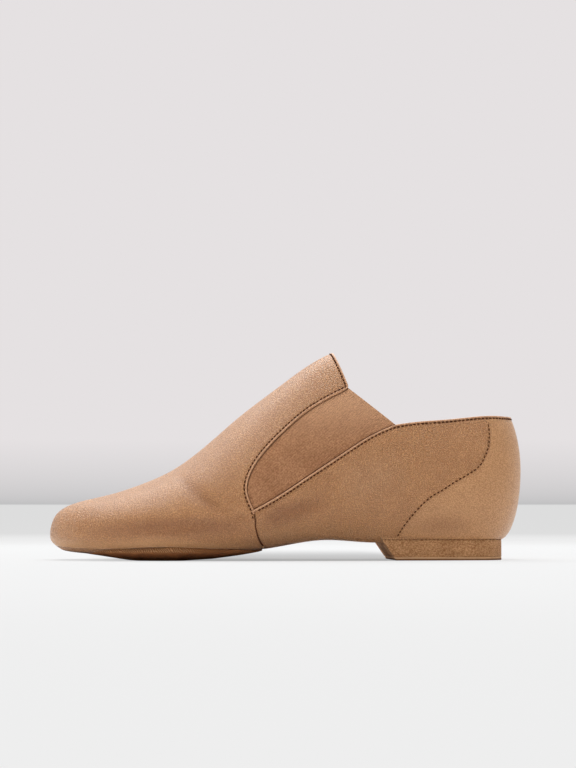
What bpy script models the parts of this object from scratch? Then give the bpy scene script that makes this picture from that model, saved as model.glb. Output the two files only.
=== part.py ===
"""Slip-on jazz shoe, left foot, built the way a shoemaker builds it.

Metres, +Z up. The floor is Z = 0, the toe points to -X and the outer side of the foot to -Y.
A soft leather upper is drawn over a last, opened at the collar and at two elastic gores, and
turned in under the foot. A suede forefoot sole and a low suede heel close it from below, which
leaves the arch bare leather. A thin insole lies inside.
"""

from collections import namedtuple
from math import cos, hypot, pi, sin

import bmesh
import bpy
import numpy as np
from mathutils import Vector

# Driving sizes of the shoe
LENGTH = 0.245
BALL_WIDTH = 0.086
HEEL_WIDTH = 0.060
INSTEP_HEIGHT = 0.1074
COLLAR_HEIGHT = 0.0745
NOSE_HEIGHT = 0.0133
TOE_SPRING = 0.0061
HEEL_HEIGHT = 0.0101

# Thicknesses
WALL = 0.0012
GORE = 0.0010
SOLE = 0.0022
SOLE_EDGE = 0.0009
INSOLE = 0.0020
LIFT = 0.0015

# Clearance between touching pieces
GAP = 0.0003

# Laps, margins and insets
GORE_LAP = 0.0050
LASTING_MARGIN = 0.0090
SEAT_MARGIN = 0.0075
INSOLE_INSET = 0.0065
HEEL_SIDE_INSET = 0.0065
HEEL_BACK_INSET = 0.0099
BREAST_SLANT = 0.0069
TREAD_FLAT = 0.00015

# Sections of the last from the nose of the toe to the middle of the heel.
# along: share of LENGTH from the nose.
# spring: height of the underside over the tread, as a share of TOE_SPRING.
# back: how far the row has changed from forefoot to heel measures.
# top: height of the ridge over the floor, as a share of INSTEP_HEIGHT.
# wide: where the section is widest, as a share of its height.
# outer, inner, ridge: distances from the centre line, as shares of the local width.
# flat: share of the underside that is flat. full: roundness over the widest line.
Section = namedtuple("Section", "along spring back top wide outer inner ridge flat full")
SECTIONS = (
    Section(0.0000, 1.00, 0.00, 0.124, 0.50, -0.081, 0.081, 0.081, 0.40, 2.3),
    Section(0.0082, 1.00, 0.00, 0.202, 0.35, 0.047, 0.203, 0.081, 0.42, 2.3),
    Section(0.0327, 0.60, 0.00, 0.254, 0.32, 0.169, 0.314, 0.077, 0.45, 2.3),
    Section(0.0735, 0.39, 0.00, 0.286, 0.31, 0.291, 0.395, 0.065, 0.48, 2.3),
    Section(0.1306, 0.20, 0.00, 0.317, 0.31, 0.393, 0.459, 0.051, 0.50, 2.25),
    Section(0.1959, 0.00, 0.00, 0.367, 0.31, 0.463, 0.495, 0.042, 0.52, 2.2),
    Section(0.2653, 0.00, 0.00, 0.446, 0.29, 0.500, 0.500, 0.035, 0.52, 2.1),
    Section(0.3347, 0.00, 0.12, 0.578, 0.25, 0.516, 0.485, 0.031, 0.48, 2.0),
    Section(0.4082, 0.00, 0.27, 0.710, 0.23, 0.519, 0.461, 0.028, 0.40, 1.95),
    Section(0.4898, 0.00, 0.62, 0.848, 0.206, 0.528, 0.455, 0.026, 0.36, 1.9),
    Section(0.5796, 0.00, 0.99, 0.985, 0.185, 0.545, 0.480, 0.020, 0.42, 1.9),
    Section(0.6776, 0.00, 0.83, 1.030, 0.232, 0.475, 0.442, 0.008, 0.50, 1.95),
    Section(0.7755, 0.00, 1.01, 0.968, 0.274, 0.500, 0.490, 0.000, 0.72, 2.0),
    Section(0.8776, 0.00, 1.00, 0.922, 0.324, 0.500, 0.500, 0.000, 0.76, 2.0),
)

# Profile of the back of the heel in the same measures, and how square the heel is in plan
BACK_TOP = 0.885
BACK_WIDE = 0.44
BACK_FLAT = 0.62
BACK_FULL = 2.0
BACK_ROUND = 2.15

# Edges seen from the side, as shares of LENGTH and of a height.
# The vamp's edges follow INSTEP_HEIGHT, the quarter's and the collar's COLLAR_HEIGHT.
TAB_LEAN = 0.35
TAB_CORNER = (0.6260, 0.824)
VAMP_EDGE = (
    (0.5500, 0.731),
    (0.4890, 0.618),
    (0.4370, 0.492),
    (0.4110, 0.385),
    (0.4090, 0.310),
)
GORE_POINT = (0.4208, 0.243)
QUARTER_EDGE = (
    (0.4750, 0.450),
    (0.5400, 0.590),
    (0.6080, 0.736),
    (0.6680, 0.861),
)
COLLAR_CORNER = (0.7200, 0.937)
COLLAR = (
    (0.7720, 0.960),
    (0.8400, 0.978),
    (0.9060, 1.000),
    (0.9600, 1.002),
)

# Plan of the forefoot sole. along: share of LENGTH. outer, inner: shares of BALL_WIDTH.
SOLE_FRONT = (0.0580, 0.081)
SoleRow = namedtuple("SoleRow", "along outer inner")
SOLE_ROWS = (
    SoleRow(0.0790, 0.140, 0.270),
    SoleRow(0.1310, 0.320, 0.390),
    SoleRow(0.1960, 0.405, 0.440),
    SoleRow(0.2650, 0.440, 0.445),
    SoleRow(0.3350, 0.407, 0.400),
    SoleRow(0.3920, 0.320, 0.300),
    SoleRow(0.4330, 0.180, 0.170),
)
SOLE_BACK = (0.4480, 0.000)
SOLE_THIN_OVER = 0.110

# Where the heel's breast meets the upper, as a share of LENGTH, and how square its back is
BREAST = 0.6945
HEEL_ROUND = 2.5

# How finely the last is read
UNDER_SHARE = 0.15
UNDER_STEPS = 2
TURN_STEPS = 6
OVER_STEPS = 9
FAN_STEPS = 9
BEYOND = 0.2

Reading = namedtuple("Reading", "x low top wide outer inner ridge flat full")
LAST_ROW = len(SECTIONS) - 1
BACK_END = LAST_ROW + 1
HALF_LENGTH = LENGTH / 2
ROWS_BEFORE = 3


def natural_bends(values):
    """Second derivatives of a cubic curve through evenly numbered values."""
    count = len(values)
    matrix = np.eye(count)
    right = np.zeros(count)
    for i in range(1, count - 1):
        matrix[i, i - 1 : i + 2] = (1, 4, 1)
        right[i] = 6 * (values[i - 1] - 2 * values[i] + values[i + 1])
    return np.linalg.solve(matrix, right)


def read_curve(values, bends, t):
    """The value at t of the cubic curve through evenly numbered values."""
    i = min(max(int(t), 0), len(values) - 2)
    b = t - i
    a = 1 - b
    curve = (a**3 - a) * bends[i] + (b**3 - b) * bends[i + 1]
    return a * values[i] + b * values[i + 1] + curve / 6


def curve_through(points, steps):
    """A smooth line through a few flat points."""
    columns = [(column, natural_bends(column)) for column in zip(*points)]
    count = (len(points) - 1) * steps
    return [tuple(read_curve(*column, i / steps) for column in columns) for i in range(count + 1)]


def closed_curve(points, steps):
    """A smooth closed line through a few flat points."""
    lap = 3
    line = curve_through(points[-lap:] + points + points[:lap], steps)
    return line[lap * steps : (lap + len(points)) * steps]


def moved_left(points, distance, closed=False):
    """A flat line moved sideways, to the left of its way."""
    moved = []
    last = len(points) - 1
    for i, (x, y) in enumerate(points):
        before = points[i - 1] if i > 0 or closed else points[0]
        after = points[(i + 1) % len(points)] if i < last or closed else points[last]
        dx, dy = after[0] - before[0], after[1] - before[1]
        size = hypot(dx, dy)
        moved.append((x - dy / size * distance, y + dx / size * distance))
    return moved


def share_x(share):
    """X of a share of the shoe's length from the nose."""
    return share * LENGTH - HALF_LENGTH


def measured(row):
    """A section's row in metres."""
    back = min(row.back, 1.0)
    width = BALL_WIDTH + (HEEL_WIDTH - BALL_WIDTH) * back
    low = (SOLE + GAP) * (1 - row.back) + (HEEL_HEIGHT + GAP) * row.back
    low += row.spring * TOE_SPRING - TREAD_FLAT * (1 - back)
    top = row.top * INSTEP_HEIGHT
    if row.along == 0:
        low = top = NOSE_HEIGHT
    wide = low + row.wide * (top - low)
    sides = (row.outer * width, row.inner * width, row.ridge * width)
    return Reading(share_x(row.along), low, top, wide, *sides, row.flat, row.full)


def past_nose(row):
    """The row mirrored in the nose, where top and bottom, outer and inner change places."""
    return row._replace(low=row.top, top=row.low, outer=-row.inner, inner=-row.outer)


def measure_columns():
    """Each measure of the last as a curve, run on past both ends so that they close smoothly."""
    rows = [measured(row) for row in SECTIONS]
    heel = rows[-1]
    before = [past_nose(row) for row in rows[ROWS_BEFORE:0:-1]]
    after = [row._replace(x=2 * heel.x - row.x) for row in rows[-2:-5:-1]]
    return [(column, natural_bends(column)) for column in zip(*(before + rows + after))]


COLUMNS = measure_columns()


def read_last(s):
    """The last's measures at station s, counted in rows of the table."""
    return Reading(*(read_curve(*column, s + ROWS_BEFORE) for column in COLUMNS))


def half_section(low, wide, top, flat, full, share):
    """Reach from the centre, 0 to 1, and height, at a share of the way from sole to ridge."""
    if share <= UNDER_SHARE:
        return flat * share / UNDER_SHARE, low
    if share <= 0.5:
        angle = (share - UNDER_SHARE) / (0.5 - UNDER_SHARE) * pi / 2
        return flat + (1 - flat) * sin(angle), wide - (wide - low) * cos(angle)
    angle = (share - 0.5) * pi
    return max(cos(angle), 0.0) ** (2 / full), wide + (top - wide) * sin(angle)


def last_point(s, v):
    """A point of the last. s is the station; v runs from -1, the ridge, round the outer side to
    0 under the foot and round the inner side to 1. Past the last row, s fans round the heel."""
    row = read_last(min(s, LAST_ROW))
    reach, z = half_section(row.low, row.wide, row.top, row.flat, row.full, abs(v))
    edge = row.inner if v > 0 else -row.outer
    if s <= LAST_ROW:
        return Vector((row.x, row.ridge + (edge - row.ridge) * reach, z))
    top = BACK_TOP * INSTEP_HEIGHT
    wide = row.low + BACK_WIDE * (top - row.low)
    back_reach, back_z = half_section(row.low, wide, top, BACK_FLAT, BACK_FULL, abs(v))
    angle = (s - LAST_ROW) * pi / 2
    backward = sin(angle) ** (2 / BACK_ROUND)
    sideways = max(cos(angle), 0.0) ** (2 / BACK_ROUND)
    x = row.x + (HALF_LENGTH - row.x) * back_reach * backward
    return Vector((x, edge * reach * sideways, z + (back_z - z) * sin(angle) ** 2))


def last_normal(s, v):
    """The outward direction of the last at a point."""
    step = 1e-3
    if s < step:
        return Vector((-1, 0, 0))
    if s > LAST_ROW and abs(v) < step:
        return Vector((0, 0, -1))
    if s > LAST_ROW and abs(v) > 1 - step:
        return Vector((0, 0, 1))
    v_low, v_high = (1 - step, step - 1) if abs(v) > 1 - step else (v - step, v + step)
    s_low, s_high = max(s - step, 0), min(s + step, BACK_END)
    along = last_point(s_high, v) - last_point(s_low, v)
    around = last_point(s, v_high) - last_point(s, v_low)
    normal = around.cross(along)
    if s == BACK_END:
        normal.y = 0
    return normal.normalized()


def off_last(s, v, distance):
    """A point at a distance outside the last. The distance may follow s."""
    if callable(distance):
        distance = distance(s)
    return last_point(s, v) + last_normal(s, v) * distance


def station_at(x):
    """The station whose section lies at x."""
    low, high = 0.0, float(LAST_ROW)
    for _ in range(40):
        middle = (low + high) / 2
        low, high = (middle, high) if read_last(middle).x < x else (low, middle)
    return low


def evenly(first, last, step):
    """Numbers from first to last, about a step apart."""
    count = round((last - first) / step)
    return [first + (last - first) * i / count for i in range(count + 1)]


def half_ring():
    """Places from under the foot to the ridge, closest where the section turns under."""
    under = evenly(0, UNDER_SHARE, UNDER_SHARE / UNDER_STEPS)
    turn = evenly(UNDER_SHARE, 0.5, (0.5 - UNDER_SHARE) / TURN_STEPS)
    return under + turn[1:] + evenly(0.5, 1, 0.5 / OVER_STEPS)[1:]


NOSE_STATIONS = [0, 0.12, 0.3, 0.55, 0.85, 1.2, 1.6]
MAIN_STATIONS = evenly(2, LAST_ROW, 0.5)
HEEL_STATIONS = evenly(LAST_ROW, BACK_END, 1 / FAN_STEPS)[1:]
STATIONS = NOSE_STATIONS + MAIN_STATIONS + HEEL_STATIONS
RING = [-v for v in half_ring()[:0:-1]] + half_ring()
LOWER_RING = [v for v in RING if abs(v) <= 0.5]


def add_grid(bm, along, around):
    """A flat grid whose corners hold a station in X and a place round the section in Y."""
    columns, rows = len(along) - 1, len(around) - 1
    grid = bmesh.ops.create_grid(bm, x_segments=columns, y_segments=rows, size=0.5)
    for vert in grid["verts"]:
        column, row = round((vert.co.x + 0.5) * columns), round((vert.co.y + 0.5) * rows)
        vert.co = (along[column], around[row], 0)
    return grid["verts"]


def add_skin(bm, distance):
    """A closed surface at a distance outside the last, facing inward."""
    verts = add_grid(bm, STATIONS, RING)
    for vert in verts:
        vert.co = off_last(vert.co.x, vert.co.y, distance)
    bmesh.ops.remove_doubles(bm, verts=verts, dist=1e-7)


def filled_last(distance):
    """A solid at a distance outside the last."""
    bm = bmesh.new()
    add_skin(bm, distance)
    bmesh.ops.reverse_faces(bm, faces=bm.faces)
    return bm


def shell(far, near):
    """A hollow body between two distances outside the last."""
    bm = filled_last(far)
    add_skin(bm, near)
    return bm


def patch(along, around, far, near):
    """A thick piece of a shell, between some stations and places."""
    bm = bmesh.new()
    add_grid(bm, along, around)
    raised = bmesh.ops.extrude_face_region(bm, geom=list(bm.faces))["geom"]
    far_verts = {item for item in raised if isinstance(item, bmesh.types.BMVert)}
    for vert in bm.verts:
        vert.co = off_last(vert.co.x, vert.co.y, far if vert in far_verts else near)
    bmesh.ops.recalc_face_normals(bm, faces=bm.faces)
    return bm


def bar(outline, low, high, axis):
    """A bar along Y or Z with a flat outline."""
    bm = bmesh.new()
    across_y = axis == "Y"
    for a, b in outline:
        bm.verts.new((a, low, b) if across_y else (a, b, low))
    face = bm.faces.new(bm.verts)
    raised = bmesh.ops.extrude_face_region(bm, geom=[face])["geom"]
    far_verts = [item for item in raised if isinstance(item, bmesh.types.BMVert)]
    push = Vector((0, 1, 0)) if across_y else Vector((0, 0, 1))
    bmesh.ops.translate(bm, vec=push * (high - low), verts=far_verts)
    bmesh.ops.recalc_face_normals(bm, faces=bm.faces)
    return bm


def finish(name, colour, roughness):
    """A plain material with the part's colour."""
    material = bpy.data.materials.new(name)
    material.use_nodes = True
    shader = material.node_tree.nodes["Principled BSDF"]
    shader.inputs["Base Color"].default_value = (*colour, 1.0)
    shader.inputs["Roughness"].default_value = roughness
    shader.inputs["Metallic"].default_value = 0.0
    return material


def add_object(name, bm):
    """A mesh object made from a bmesh, which is used up."""
    mesh = bpy.data.meshes.new(name)
    bm.to_mesh(mesh)
    bm.free()
    obj = bpy.data.objects.new(name, mesh)
    bpy.context.scene.collection.objects.link(obj)
    return obj


def add_piece(name, bm, material):
    """A piece of the shoe, shaded smooth but for its edges."""
    piece = add_object(name, bm)
    piece.data.materials.append(material)
    piece.data.shade_smooth()
    piece.data.set_sharp_from_angle(angle=pi / 5)
    return piece


def add_guide(name, bm):
    """A body that only shapes the pieces."""
    guide = add_object(name, bm)
    guide.hide_render = True
    guide.display_type = "WIRE"
    return guide


def boolean(piece, guide, operation):
    modifier = piece.modifiers.new(guide.name, "BOOLEAN")
    modifier.operation = operation
    modifier.object = guide
    modifier.solver = "EXACT"


def cut(piece, guide):
    """Takes the guide's body out of the piece."""
    boolean(piece, guide, "DIFFERENCE")


def keep(piece, guide):
    """Keeps only what lies inside the guide's body."""
    boolean(piece, guide, "INTERSECT")


def side_points(places, height):
    """Points of a side view in metres."""
    return [(share_x(along), up * height) for along, up in places]


def vamp_edge(steps):
    """Side view of the vamp's edge at the gore, from the tab's corner down to the gore's point."""
    return curve_through(side_points((TAB_CORNER, *VAMP_EDGE, GORE_POINT), INSTEP_HEIGHT), steps)


def quarter_edge(steps):
    """Side view of the quarter's edge at the gore, from its point up to the collar's corner."""
    start = side_points([GORE_POINT], INSTEP_HEIGHT)
    rest = side_points((*QUARTER_EDGE, COLLAR_CORNER), COLLAR_HEIGHT)
    return curve_through(start + rest, steps)


def collar_edge(steps):
    """Side view of the collar from its corner to the back."""
    return curve_through(side_points((COLLAR_CORNER, *COLLAR), COLLAR_HEIGHT), steps)


def top_opening():
    """Side view of all that is open above the leather: the collar and both gores."""
    vamp, collar = vamp_edge(5), collar_edge(3)
    rise = (INSTEP_HEIGHT - vamp[0][1]) * 1.5
    over_tab = (vamp[0][0] - rise * TAB_LEAN, vamp[0][1] + rise)
    behind = [(BEYOND, collar[-1][1]), (BEYOND, BEYOND), (over_tab[0], BEYOND)]
    return [over_tab] + vamp + quarter_edge(4)[1:-1] + collar + behind


def gore_outline():
    """Side view of a gore, with the lap that is sewn behind the leather."""
    vamp, quarter = vamp_edge(4), quarter_edge(4)
    tab, corner = vamp[0], quarter[-1]
    slope = (tab[1] - corner[1]) / (tab[0] - corner[0])
    front = moved_left(vamp, -GORE_LAP)
    under = moved_left(quarter, -GORE_LAP)
    left_x, right_x = front[0][0], corner[0] + GORE_LAP / 2
    top_left = (left_x, tab[1] + (left_x - tab[0]) * slope - GAP)
    top_right = (right_x, corner[1] + (right_x - corner[0]) * slope - GAP)
    front = [point for point in front if point[1] < top_left[1] - GORE_LAP / 2]
    clear = front[-1][0] + GORE_LAP, right_x - GORE_LAP / 2
    under = [point for point in under if clear[0] < point[0] < clear[1]]
    return [top_left] + front + under + [top_right]


def foot_outline(inset):
    """Plan view of the last at its widest line, moved in."""
    outer = [last_point(s, -0.5) for s in reversed(STATIONS)]
    inner = [last_point(s, 0.5) for s in STATIONS[1:-1]]
    return moved_left([(point.x, point.y) for point in outer + inner], -inset, closed=True)


def sole_outline(inset):
    """Plan view of the forefoot sole, moved in."""
    outer = [(row.along, -row.outer) for row in SOLE_ROWS]
    inner = [(row.along, row.inner) for row in reversed(SOLE_ROWS)]
    places = [SOLE_BACK] + outer[::-1] + [SOLE_FRONT] + inner[::-1]
    points = [(share_x(along), across * BALL_WIDTH) for along, across in places]
    return moved_left(closed_curve(points, 3), -inset, closed=True)


def heel_outline(inset):
    """Plan view of the heel, a D with a straight breast, moved in."""
    side_inset = HEEL_SIDE_INSET + inset
    axis = read_last(LAST_ROW)
    rows = [read_last(s) for s in evenly(station_at(share_x(BREAST) + inset), LAST_ROW, 0.4)[:-1]]
    outer = [(row.x, side_inset - row.outer) for row in rows]
    inner = [(row.x, row.inner - side_inset) for row in reversed(rows)]
    depth = HALF_LENGTH - HEEL_BACK_INSET - inset - axis.x
    half_width = axis.outer - side_inset
    back = []
    for angle in evenly(-pi / 2, pi / 2, pi / 28):
        across = half_width * abs(sin(angle)) ** (2 / HEEL_ROUND)
        backward = depth * max(cos(angle), 0.0) ** (2 / HEEL_ROUND)
        back.append((axis.x + backward, across if angle > 0 else -across))
    return outer + back + inner


def under_widest():
    """Side view of what lies below the last's widest line."""
    line = [(point.x, point.z) for point in (last_point(s, 0.5) for s in STATIONS)]
    nose, back = line[0][1], line[-1][1]
    below = [(BEYOND, back), (BEYOND, -BEYOND), (-BEYOND, -BEYOND), (-BEYOND, nose)]
    return line + below


def before_breast():
    """Side view of all that lies before the heel's slanting breast."""
    lean = BREAST_SLANT / HEEL_HEIGHT
    high, low = HEEL_HEIGHT + BEYOND, -BEYOND
    high_x = share_x(BREAST) - BEYOND * lean
    low_x = share_x(BREAST) + high * lean
    return [(-BEYOND, low), (low_x, low), (high_x, high), (-BEYOND, high)]


def tread_distance(s):
    """How far the sole's tread lies outside the last: less towards the sole's two ends."""
    share = (read_last(s).x + HALF_LENGTH) / LENGTH
    nearest_end = min(share - SOLE_FRONT[0], SOLE_BACK[0] - share) / SOLE_THIN_OVER
    return GAP + SOLE_EDGE + (SOLE - SOLE_EDGE) * min(max(nearest_end, 0.0), 1.0)


def make_upper(leather):
    """The hollow leather upper, opened above and turned in under forefoot and heel."""
    upper = add_piece("upper", shell(0, -WALL), leather)
    cut(upper, add_guide("cut_top_opening", bar(top_opening(), -BEYOND, BEYOND, "Y")))
    forefoot = bar(sole_outline(LASTING_MARGIN), -BEYOND, NOSE_HEIGHT, "Z")
    cut(upper, add_guide("cut_under_forefoot", forefoot))
    seat_top = HEEL_HEIGHT + GAP + WALL + SEAT_MARGIN / 2
    cut(upper, add_guide("cut_under_heel", bar(heel_outline(SEAT_MARGIN), -BEYOND, seat_top, "Z")))


def make_gore(name, side, elastic):
    """One elastic gore, sewn behind the leather of vamp and quarter."""
    along = evenly(station_at(share_x(0.38)), station_at(share_x(0.80)), 0.3)
    around = [v * side for v in half_ring() if 0.39 < v < 0.96][::side]
    outside = -(WALL + GAP)
    gore = add_piece(name, patch(along, around, outside, outside - GORE), elastic)
    keep(gore, add_guide("shape_" + name, bar(gore_outline(), -BEYOND, BEYOND, "Y")))


def make_forefoot_sole(suede):
    """The forefoot sole, dished to the upper and flat where it treads."""
    ahead, behind = share_x(SOLE_FRONT[0] - 0.03), share_x(SOLE_BACK[0] + 0.05)
    along = [s for s in STATIONS if station_at(ahead) < s < station_at(behind)]
    sole = add_piece("forefoot_sole", patch(along, LOWER_RING, tread_distance, GAP), suede)
    keep(sole, add_guide("shape_forefoot_sole", bar(sole_outline(0), -BEYOND, BEYOND, "Z")))
    ground = [(-BEYOND, -BEYOND), (BEYOND, -BEYOND), (BEYOND, BEYOND), (-BEYOND, BEYOND)]
    cut(sole, add_guide("cut_floor", bar(ground, -BEYOND, 0, "Z")))


def make_heel(suede, rubber):
    """A suede covered block under the seat of the upper, on a thin lift."""
    breast = add_guide("cut_breast", bar(before_breast(), -BEYOND, BEYOND, "Y"))
    block = add_piece("heel_block", bar(heel_outline(0), LIFT + GAP, HEEL_HEIGHT * 1.6, "Z"), suede)
    cut(block, add_guide("cut_seat", filled_last(GAP)))
    cut(block, breast)
    lift = add_piece("heel_lift", bar(heel_outline(0), 0, LIFT, "Z"), rubber)
    cut(lift, breast)


def make_insole(cloth):
    """The insole, which lies on the turned in margin of the upper."""
    underside = -(WALL + GAP)
    insole = add_piece("insole", shell(underside, underside - INSOLE), cloth)
    keep(insole, add_guide("shape_insole", bar(foot_outline(INSOLE_INSET), -BEYOND, BEYOND, "Z")))
    keep(insole, add_guide("shape_lower_half", bar(under_widest(), -BEYOND, BEYOND, "Y")))


def main():
    for obj in list(bpy.data.objects):
        bpy.data.objects.remove(obj)
    leather = finish("tan_leather", (0.46, 0.27, 0.16), 0.55)
    elastic = finish("tan_elastic", (0.36, 0.19, 0.10), 0.85)
    suede = finish("tan_suede", (0.30, 0.15, 0.07), 0.95)
    rubber = finish("heel_rubber", (0.33, 0.17, 0.08), 0.80)
    cloth = finish("insole_cloth", (0.55, 0.42, 0.30), 0.90)
    make_upper(leather)
    make_gore("gore_outer", -1, elastic)
    make_gore("gore_inner", 1, elastic)
    make_forefoot_sole(suede)
    make_heel(suede, rubber)
    make_insole(cloth)


main()
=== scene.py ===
# %% [markdown]
# # A slip-on jazz shoe
# A soft leather shoe for the left foot, made of a vamp, two quarters, two elastic gores, a suede
# forefoot sole and a low suede heel. The toe points to -X and the outer side of the foot to -Y.
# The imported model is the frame: every piece here sits where its solid sits, in metres.

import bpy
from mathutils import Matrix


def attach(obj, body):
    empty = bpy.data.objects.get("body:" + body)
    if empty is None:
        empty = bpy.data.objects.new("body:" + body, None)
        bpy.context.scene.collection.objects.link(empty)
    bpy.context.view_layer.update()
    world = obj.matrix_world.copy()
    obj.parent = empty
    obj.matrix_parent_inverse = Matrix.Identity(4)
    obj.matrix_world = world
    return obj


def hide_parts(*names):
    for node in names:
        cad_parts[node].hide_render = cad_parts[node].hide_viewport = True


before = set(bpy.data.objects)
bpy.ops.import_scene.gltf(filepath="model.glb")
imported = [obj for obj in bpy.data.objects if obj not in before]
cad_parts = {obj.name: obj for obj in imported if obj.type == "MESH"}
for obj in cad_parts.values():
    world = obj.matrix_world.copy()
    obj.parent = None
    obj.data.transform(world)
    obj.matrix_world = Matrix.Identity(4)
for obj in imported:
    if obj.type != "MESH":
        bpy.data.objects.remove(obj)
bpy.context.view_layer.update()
print("solids:", sorted(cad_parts))

# %% Tools and the shoe's own sizes
from collections import namedtuple
from math import cos, pi, radians, sin

import bmesh
import bpy
import numpy as np
from mathutils import Matrix, Vector
from mathutils.kdtree import KDTree

MM = 0.001
LENGTH = 0.245
BALL_WIDTH = 0.086
HEEL_WIDTH = 0.060
INSTEP_HEIGHT = 0.1074
COLLAR_HEIGHT = 0.0745
NOSE_HEIGHT = 0.0133
TOE_SPRING = 0.0061
HEEL_HEIGHT = 0.0101
SOLE = 0.0022
LIFT = 0.0015
GAP = 0.0003
TREAD_FLAT = 0.00015
print("length", LENGTH, "instep height", INSTEP_HEIGHT)

# %% [markdown]
# ## The last
# A shoemaker draws the upper over a last, so every panel of this shoe is a part of one smooth
# surface. The surface could be sculpted, or lofted by hand, but a table of cross sections keeps
# it exactly on the solids. Each measure runs through the table as a smooth curve. A point of
# the last is named by a station s, counted in rows of the table, and a place v round the section.

# %% The table of sections
Section = namedtuple("Section", "along spring back top wide outer inner ridge flat full")
SECTIONS = (
    Section(0.0000, 1.00, 0.00, 0.124, 0.50, -0.081, 0.081, 0.081, 0.40, 2.3),
    Section(0.0082, 1.00, 0.00, 0.202, 0.35, 0.047, 0.203, 0.081, 0.42, 2.3),
    Section(0.0327, 0.60, 0.00, 0.254, 0.32, 0.169, 0.314, 0.077, 0.45, 2.3),
    Section(0.0735, 0.39, 0.00, 0.286, 0.31, 0.291, 0.395, 0.065, 0.48, 2.3),
    Section(0.1306, 0.20, 0.00, 0.317, 0.31, 0.393, 0.459, 0.051, 0.50, 2.25),
    Section(0.1959, 0.00, 0.00, 0.367, 0.31, 0.463, 0.495, 0.042, 0.52, 2.2),
    Section(0.2653, 0.00, 0.00, 0.446, 0.29, 0.500, 0.500, 0.035, 0.52, 2.1),
    Section(0.3347, 0.00, 0.12, 0.578, 0.25, 0.516, 0.485, 0.031, 0.48, 2.0),
    Section(0.4082, 0.00, 0.27, 0.710, 0.23, 0.519, 0.461, 0.028, 0.40, 1.95),
    Section(0.4898, 0.00, 0.62, 0.848, 0.206, 0.528, 0.455, 0.026, 0.36, 1.9),
    Section(0.5796, 0.00, 0.99, 0.985, 0.185, 0.545, 0.480, 0.020, 0.42, 1.9),
    Section(0.6776, 0.00, 0.83, 1.030, 0.232, 0.475, 0.442, 0.008, 0.50, 1.95),
    Section(0.7755, 0.00, 1.01, 0.968, 0.274, 0.500, 0.490, 0.000, 0.72, 2.0),
    Section(0.8776, 0.00, 1.00, 0.922, 0.324, 0.500, 0.500, 0.000, 0.76, 2.0),
)
BACK_TOP, BACK_WIDE, BACK_FLAT, BACK_FULL, BACK_ROUND = 0.885, 0.44, 0.62, 2.0, 2.15
UNDER_SHARE = 0.15
Reading = namedtuple("Reading", "x low top wide outer inner ridge flat full")
LAST_ROW = len(SECTIONS) - 1
BACK_END = LAST_ROW + 1
HALF_LENGTH = LENGTH / 2
ROWS_BEFORE = 3
print("rows of sections:", len(SECTIONS))


# %% Read the table as smooth curves
def share_x(share):
    """X of a share of the shoe's length from the nose."""
    return share * LENGTH - HALF_LENGTH


def natural_bends(values):
    """Second derivatives of a cubic curve through evenly numbered values."""
    count = len(values)
    matrix = np.eye(count)
    right = np.zeros(count)
    for i in range(1, count - 1):
        matrix[i, i - 1 : i + 2] = (1, 4, 1)
        right[i] = 6 * (values[i - 1] - 2 * values[i] + values[i + 1])
    return np.linalg.solve(matrix, right)


def read_curve(values, bends, t):
    """The value at t of the cubic curve through evenly numbered values."""
    i = np.clip(np.floor(t).astype(int), 0, len(values) - 2)
    b = t - i
    a = 1 - b
    curve = (a**3 - a) * bends[i] + (b**3 - b) * bends[i + 1]
    return a * values[i] + b * values[i + 1] + curve / 6


def curve_through(points, steps):
    """A smooth line through a few points."""
    columns = [np.array(column, float) for column in zip(*points)]
    t = np.linspace(0, len(points) - 1, (len(points) - 1) * steps + 1)
    return np.array([read_curve(column, natural_bends(column), t) for column in columns]).T


def measured(row):
    """A section's row in metres."""
    back = min(row.back, 1.0)
    width = BALL_WIDTH + (HEEL_WIDTH - BALL_WIDTH) * back
    low = (SOLE + GAP) * (1 - row.back) + (HEEL_HEIGHT + GAP) * row.back
    low += row.spring * TOE_SPRING - TREAD_FLAT * (1 - back)
    top = row.top * INSTEP_HEIGHT
    if row.along == 0:
        low = top = NOSE_HEIGHT
    wide = low + row.wide * (top - low)
    sides = (row.outer * width, row.inner * width, row.ridge * width)
    return Reading(share_x(row.along), low, top, wide, *sides, row.flat, row.full)


def past_nose(row):
    """The row mirrored in the nose, where top and bottom, outer and inner change places."""
    return row._replace(low=row.top, top=row.low, outer=-row.inner, inner=-row.outer)


def measure_columns():
    """Each measure of the last as a curve, run on past both ends so that they close smoothly."""
    rows = [measured(row) for row in SECTIONS]
    heel = rows[-1]
    before = [past_nose(row) for row in rows[ROWS_BEFORE:0:-1]]
    after = [row._replace(x=2 * heel.x - row.x) for row in rows[-2:-5:-1]]
    columns = [np.array(column) for column in zip(*(before + rows + after))]
    return [(column, natural_bends(column)) for column in columns]


COLUMNS = measure_columns()


def read_last(s):
    """The last's measures at stations s."""
    t = np.clip(s, 0, LAST_ROW) + ROWS_BEFORE
    return Reading(*(read_curve(*column, t) for column in COLUMNS))


print("x of station 8:", round(float(read_last(np.array([8.0])).x[0]), 4))


# %% Points and directions on the last
def half_section(low, wide, top, flat, full, share):
    """Reach from the centre, 0 to 1, and height, at a share of the way from sole to ridge."""
    turn = (share - UNDER_SHARE) / (0.5 - UNDER_SHARE) * pi / 2
    over = (share - 0.5) * pi
    reach = np.where(share <= 0.5, flat + (1 - flat) * np.sin(turn), 0.0)
    reach = np.where(share > 0.5, np.maximum(np.cos(over), 0.0) ** (2 / full), reach)
    reach = np.where(share <= UNDER_SHARE, flat * share / UNDER_SHARE, reach)
    z = np.where(share <= 0.5, wide - (wide - low) * np.cos(turn), wide + (top - wide) * np.sin(over))
    return reach, np.where(share <= UNDER_SHARE, low, z)


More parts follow.
